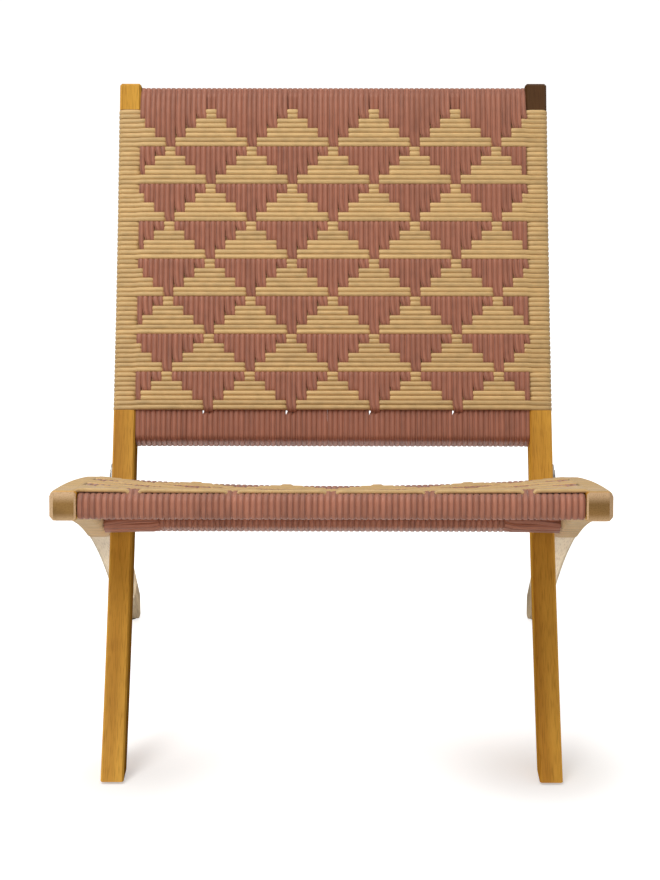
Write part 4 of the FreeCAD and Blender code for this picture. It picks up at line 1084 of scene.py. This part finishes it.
def rail_finish(name, colour):
    """Plain wood whose grain runs across the chair."""
    finish = Finish(name)
    along = finish.stretched(finish.coordinate(), (0.05, 1.0, 1.0))
    grain = finish.noise(along, 160.0, 4.0, 0.6)
    tone = finish.ramp(grain, (0.3, scaled(colour, 0.55)), (0.7, scaled(colour, 1.25)))
    finish.join(tone, finish.shader.inputs["Base Color"])
    finish.shader.inputs["Roughness"].default_value = 0.62
    finish.bump(grain, 0.25, 0.0004)
    return finish.material


def steel_finish(name, colour):
    """Zinc plated steel, brushed along the plates and lightly soiled."""
    finish = Finish(name)
    spot = finish.coordinate()
    brushed = finish.noise(finish.stretched(spot, (1.0, 1.0, 0.06)), 1400.0, 2.0)
    soil = finish.noise(spot, 90.0, 4.0, 0.6)
    tone = finish.ramp(soil, (0.32, scaled(colour, 0.5)), (0.6, scaled(colour, 1.1)))
    finish.join(tone, finish.shader.inputs["Base Color"])
    finish.shader.inputs["Metallic"].default_value = 1.0
    finish.join(finish.math("MULTIPLY_ADD", brushed, 0.25, 0.22),
                finish.shader.inputs["Roughness"])
    finish.bump(brushed, 0.12, 0.0002)
    return finish.material


def plastic_finish(name, colour):
    """Moulded plastic with a fine scuffed grain."""
    finish = Finish(name)
    spot = finish.coordinate()
    grain = finish.noise(spot, 1500.0, 2.0)
    scuffs = finish.noise(spot, 120.0, 4.0, 0.7)
    tone = finish.ramp(scuffs, (0.4, scaled(colour, 0.8)), (0.7, scaled(colour, 2.2)))
    finish.join(tone, finish.shader.inputs["Base Color"])
    finish.join(finish.math("MULTIPLY_ADD", scuffs, 0.3, 0.4), finish.shader.inputs["Roughness"])
    finish.bump(grain, 0.2, 0.0002)
    return finish.material


def dress(material, *nodes):
    """Give carried-over nodes of the frame a material."""
    for node in nodes:
        piece = frame["nodes"][node]
        if not piece.material_slots:
            piece.data.materials.append(material)
        for slot in piece.material_slots:
            slot.material = material


def soften(node, width):
    """Round the long edges of a carried-over node a little further."""
    piece = frame["nodes"][node]
    weld = piece.modifiers.new("Join corners", "WELD")
    weld.merge_threshold = 0.00002
    bevel = piece.modifiers.new("Soft edges", "BEVEL")
    bevel.width = width
    bevel.segments = 3
    bevel.limit_method = "ANGLE"
    bevel.angle_limit = math.radians(25.0)
    even = piece.modifiers.new("Even shading", "WEIGHTED_NORMAL")
    even.keep_sharp = False


# Operators


class WOVEN_CHAIR_OT_back_warp(bpy.types.Operator):
    """Lay the rose cords of the back"""

    bl_idname = "woven_chair.back_warp"
    bl_label = "Back Rose Cords"

    def execute(self, context):
        sizes = context.scene.woven_chair_cords
        cords = CordSet("back_rose_cords", sizes, BACK_UNIT / 2 * sizes.rose_snug)
        lay_back_warp(cords, sizes)
        cords.build(cord_finish("Rose cord of the back", sizes.rose, 0.62, 0.08),
                    "back_frame", "back_warp_cords")
        return {"FINISHED"}


class WOVEN_CHAIR_OT_back_weft(bpy.types.Operator):
    """Lay the straw cords of the back and of its posts"""

    bl_idname = "woven_chair.back_weft"
    bl_label = "Back Straw Cords"

    def execute(self, context):
        sizes = context.scene.woven_chair_cords
        cords = CordSet("back_straw_cords", sizes, BACK_PITCH * sizes.straw_snug)
        lay_back_weft(cords, sizes)
        cords.build(cord_finish("Straw cord of the back", sizes.straw, 0.12, 0.1),
                    "back_frame", "back_weft_cords")
        return {"FINISHED"}


class WOVEN_CHAIR_OT_seat_warp(bpy.types.Operator):
    """Lay the rose cords of the seat"""

    bl_idname = "woven_chair.seat_warp"
    bl_label = "Seat Rose Cords"

    def execute(self, context):
        sizes = context.scene.woven_chair_cords
        cords = CordSet("seat_rose_cords", sizes, SEAT_UNIT / 2 * sizes.rose_snug)
        lay_seat_warp(cords, sizes)
        cords.build(cord_finish("Rose cord of the seat", sizes.rose, 0.62, 0.15),
                    "seat_frame", "seat_warp_cords")
        return {"FINISHED"}


class WOVEN_CHAIR_OT_seat_weft(bpy.types.Operator):
    """Lay the straw cords of the seat and of its sides"""

    bl_idname = "woven_chair.seat_weft"
    bl_label = "Seat Straw Cords"

    def execute(self, context):
        sizes = context.scene.woven_chair_cords
        cords = CordSet("seat_straw_cords", sizes, SEAT_ROW * sizes.straw_snug)
        lay_seat_weft(cords, sizes)
        cords.build(cord_finish("Straw cord of the seat", sizes.straw, 0.12, 0.35),
                    "seat_frame", "seat_weft_cords")
        return {"FINISHED"}


class WOVEN_CHAIR_OT_wood(bpy.types.Operator):
    """Finish the posts, seat sides and rails"""

    bl_idname = "woven_chair.wood"
    bl_label = "Wood"

    def execute(self, context):
        colours = context.scene.woven_chair_wood
        head = POST_HEAD_FRONT[1] - HEAD_BLOCK
        # Both posts get painted shade on their inward faces and a painted highlight on their
        # outward edges.
        dress(wood_finish("Honey post", POST_FRONT, colours.light, colours.dark, inner=0.42),
              "back_post_left")
        dress(wood_finish("Dark headed post", POST_FRONT, colours.light, colours.dark,
                          (2, head - 0.004, head + 0.001, colours.head), inner=0.95),
              "back_post_right")
        # Towards their rear ends the seat sides turn to a painted glare, washed out as if by
        # strong light.
        dress(wood_finish("Seat side", BELLY, colours.light, colours.dark,
                          (1, WRAP_END_LOW[0] - 0.2, WRAP_END_LOW[0] - 0.1, colours.painted_glare),
                          end_grain=tuple(colours.end_grain)),
              "seat_side_left", "seat_side_right")
        for side in ("left", "right"):
            soften("back_post_" + side, POST_SOFTNESS)
            soften("seat_side_" + side, SIDE_SOFTNESS)
        dress(rail_finish("Rail wood", colours.core),
              "back_top_rail", "back_lower_rail", "seat_front_rail", "seat_rear_rail",
              "back_rail_tenons", "seat_rail_tenons")
        return {"FINISHED"}


class WOVEN_CHAIR_OT_fittings(bpy.types.Operator):
    """Finish the steel fittings and the floor glides"""

    bl_idname = "woven_chair.fittings"
    bl_label = "Fittings"

    def execute(self, context):
        colours = context.scene.woven_chair_wood
        dress(steel_finish("Plated steel", colours.steel),
              "post_plate_left", "post_plate_right", "plate_screws", "pivot_bolt_left",
              "pivot_bolt_right", "pivot_nuts", "pivot_washers", "pivot_spacers",
              "pivot_bushes")
        dress(plastic_finish("Glide plastic", colours.plastic),
              "front_glides", "rear_glides")
        return {"FINISHED"}


class WOVEN_CHAIR_OT_studio(bpy.types.Operator):
    """Set up the floor, lamps, surroundings and camera"""

    bl_idname = "woven_chair.studio"
    bl_label = "Studio"

    def execute(self, context):
        light = context.scene.woven_chair_studio
        make_floor(light)
        make_surroundings(light)
        make_lamp("Key lamp", (-1.8, -2.3, 4.4), 2.4, light.key_power)
        make_lamp("Top lamp", (-0.4, -0.2, 4.8), 2.6, light.top_power)
        make_lamp("Bounce lamp", (0.0, -1.5, 0.05), 1.4, light.bounce_power)
        make_lamp("Under lamp", (0.0, 0.06, 0.02), 0.66, light.under_power)
        make_camera(light)
        return {"FINISHED"}


def make_floor(light):
    mesh = bpy.data.meshes.new("Floor")
    reach = 30.0
    mesh.from_pydata([(-reach, -reach, 0.0), (reach, -reach, 0.0),
                      (reach, reach, 0.0), (-reach, reach, 0.0)], [], [(0, 1, 2, 3)])
    floor = add_object("Floor", mesh)
    finish = Finish("Floor")
    finish.shader.inputs["Base Color"].default_value = (*light.floor, 1.0)
    finish.shader.inputs["Roughness"].default_value = 0.9
    finish.shader.inputs["Specular IOR Level"].default_value = 0.1
    # Painted contact shadow: the glow that the camera sees drops round each front foot, so the
    # floor there is darker.
    spot = finish.parts(finish.coordinate())
    gap = finish.node("VectorMath", operation="DISTANCE")
    finish.join(finish.vector(finish.math("ABSOLUTE", spot[0]), spot[1]), gap.inputs[0])
    gap.inputs[1].default_value = FRONT_FOOT
    foot_shadow_glow = finish.slide(gap.outputs["Value"], SHADOW_NEAR, SHADOW_FAR,
                          light.painted_shadow_glow, light.glow_far)
    glow = finish.node("Emission")
    seen = finish.node("LightPath").outputs["Is Camera Ray"]
    finish.join(finish.math("MULTIPLY", seen, foot_shadow_glow), glow.inputs["Strength"])
    both = finish.node("AddShader")
    finish.join(finish.shader.outputs[0], both.inputs[0])
    finish.join(glow.outputs[0], both.inputs[1])
    finish.join(both.outputs[0], finish.tree.nodes["Material Output"].inputs["Surface"])
    mesh.materials.append(finish.material)


def make_surroundings(light):
    """Even light, which is plain white where the camera sees or mirrors it."""
    world = bpy.data.worlds.new("Studio")
    bpy.context.scene.world = world
    world.use_nodes = True
    nodes = Nodes(world.node_tree)
    backdrop = nodes.tree.nodes["Background"]
    backdrop.inputs["Color"].default_value = (*WHITE, 1.0)
    rays = nodes.node("LightPath").outputs
    seen = nodes.math("MAXIMUM", rays["Is Camera Ray"], rays["Is Glossy Ray"])
    seen = nodes.math("MAXIMUM", seen, rays["Is Transmission Ray"])
    nodes.join(nodes.slide(seen, 0.0, 1.0, light.fill, 1.0, kind="LINEAR"),
               backdrop.inputs["Strength"])


def make_lamp(name, spot, width, power):
    """Square lamp that faces the chair."""
    data = bpy.data.lights.new(name, "AREA")
    data.energy = power
    data.size = width
    lamp = add_object(name, data)
    lamp.location = spot
    lamp.visible_camera = False
    aim = np.array(LAMP_AIM) - np.array(spot)
    level = math.hypot(aim[0], aim[1])
    lamp.rotation_euler = (math.atan2(level, -aim[2]), 0.0, math.atan2(-aim[0], aim[1]))


def make_camera(light):
    data = bpy.data.cameras.new("Camera")
    data.sensor_fit = "VERTICAL"
    data.sensor_height = 36.0
    data.lens = light.lens
    data.clip_end = 100.0
    camera = add_object("Camera", data)
    camera.location = CAMERA_SPOT
    camera.rotation_euler = (CAMERA_TILT, 0.0, CAMERA_TURN)
    bpy.context.scene.camera = camera


class WOVEN_CHAIR_PT_sidebar(bpy.types.Panel):
    """Sizes, colours and pieces of the woven folding chair"""

    bl_idname = "WOVEN_CHAIR_PT_sidebar"
    bl_label = "Woven Folding Chair"
    bl_space_type = "VIEW_3D"
    bl_region_type = "UI"
    bl_category = "Woven Chair"

    def draw(self, context):
        layout = self.layout
        for group in (context.scene.woven_chair_cords, context.scene.woven_chair_wood,
                      context.scene.woven_chair_studio):
            box = layout.box()
            for name in group.bl_rna.properties.keys():
                if name not in ("name", "rna_type"):
                    box.prop(group, name)
        for piece in PIECES:
            layout.operator(piece.bl_idname)


PIECES = (
    WOVEN_CHAIR_OT_back_warp,
    WOVEN_CHAIR_OT_back_weft,
    WOVEN_CHAIR_OT_seat_warp,
    WOVEN_CHAIR_OT_seat_weft,
    WOVEN_CHAIR_OT_wood,
    WOVEN_CHAIR_OT_fittings,
    WOVEN_CHAIR_OT_studio,
)
CLASSES = (CordSizes, WoodColours, StudioLight) + PIECES + (WOVEN_CHAIR_PT_sidebar,)


def register():
    for item in CLASSES:
        bpy.utils.register_class(item)
    bpy.types.Scene.woven_chair_cords = PointerProperty(type=CordSizes)
    bpy.types.Scene.woven_chair_wood = PointerProperty(type=WoodColours)
    bpy.types.Scene.woven_chair_studio = PointerProperty(type=StudioLight)


def unregister():
    del bpy.types.Scene.woven_chair_studio
    del bpy.types.Scene.woven_chair_wood
    del bpy.types.Scene.woven_chair_cords
    for item in reversed(CLASSES):
        bpy.utils.unregister_class(item)


def main():
    register()
    bpy.context.scene.view_settings.view_transform = "Standard"
    bpy.ops.woven_chair.back_warp()
    bpy.ops.woven_chair.back_weft()
    bpy.ops.woven_chair.seat_warp()
    bpy.ops.woven_chair.seat_weft()
    bpy.ops.woven_chair.wood()
    bpy.ops.woven_chair.fittings()
    bpy.ops.woven_chair.studio()


if __name__ == "__main__":
    main()
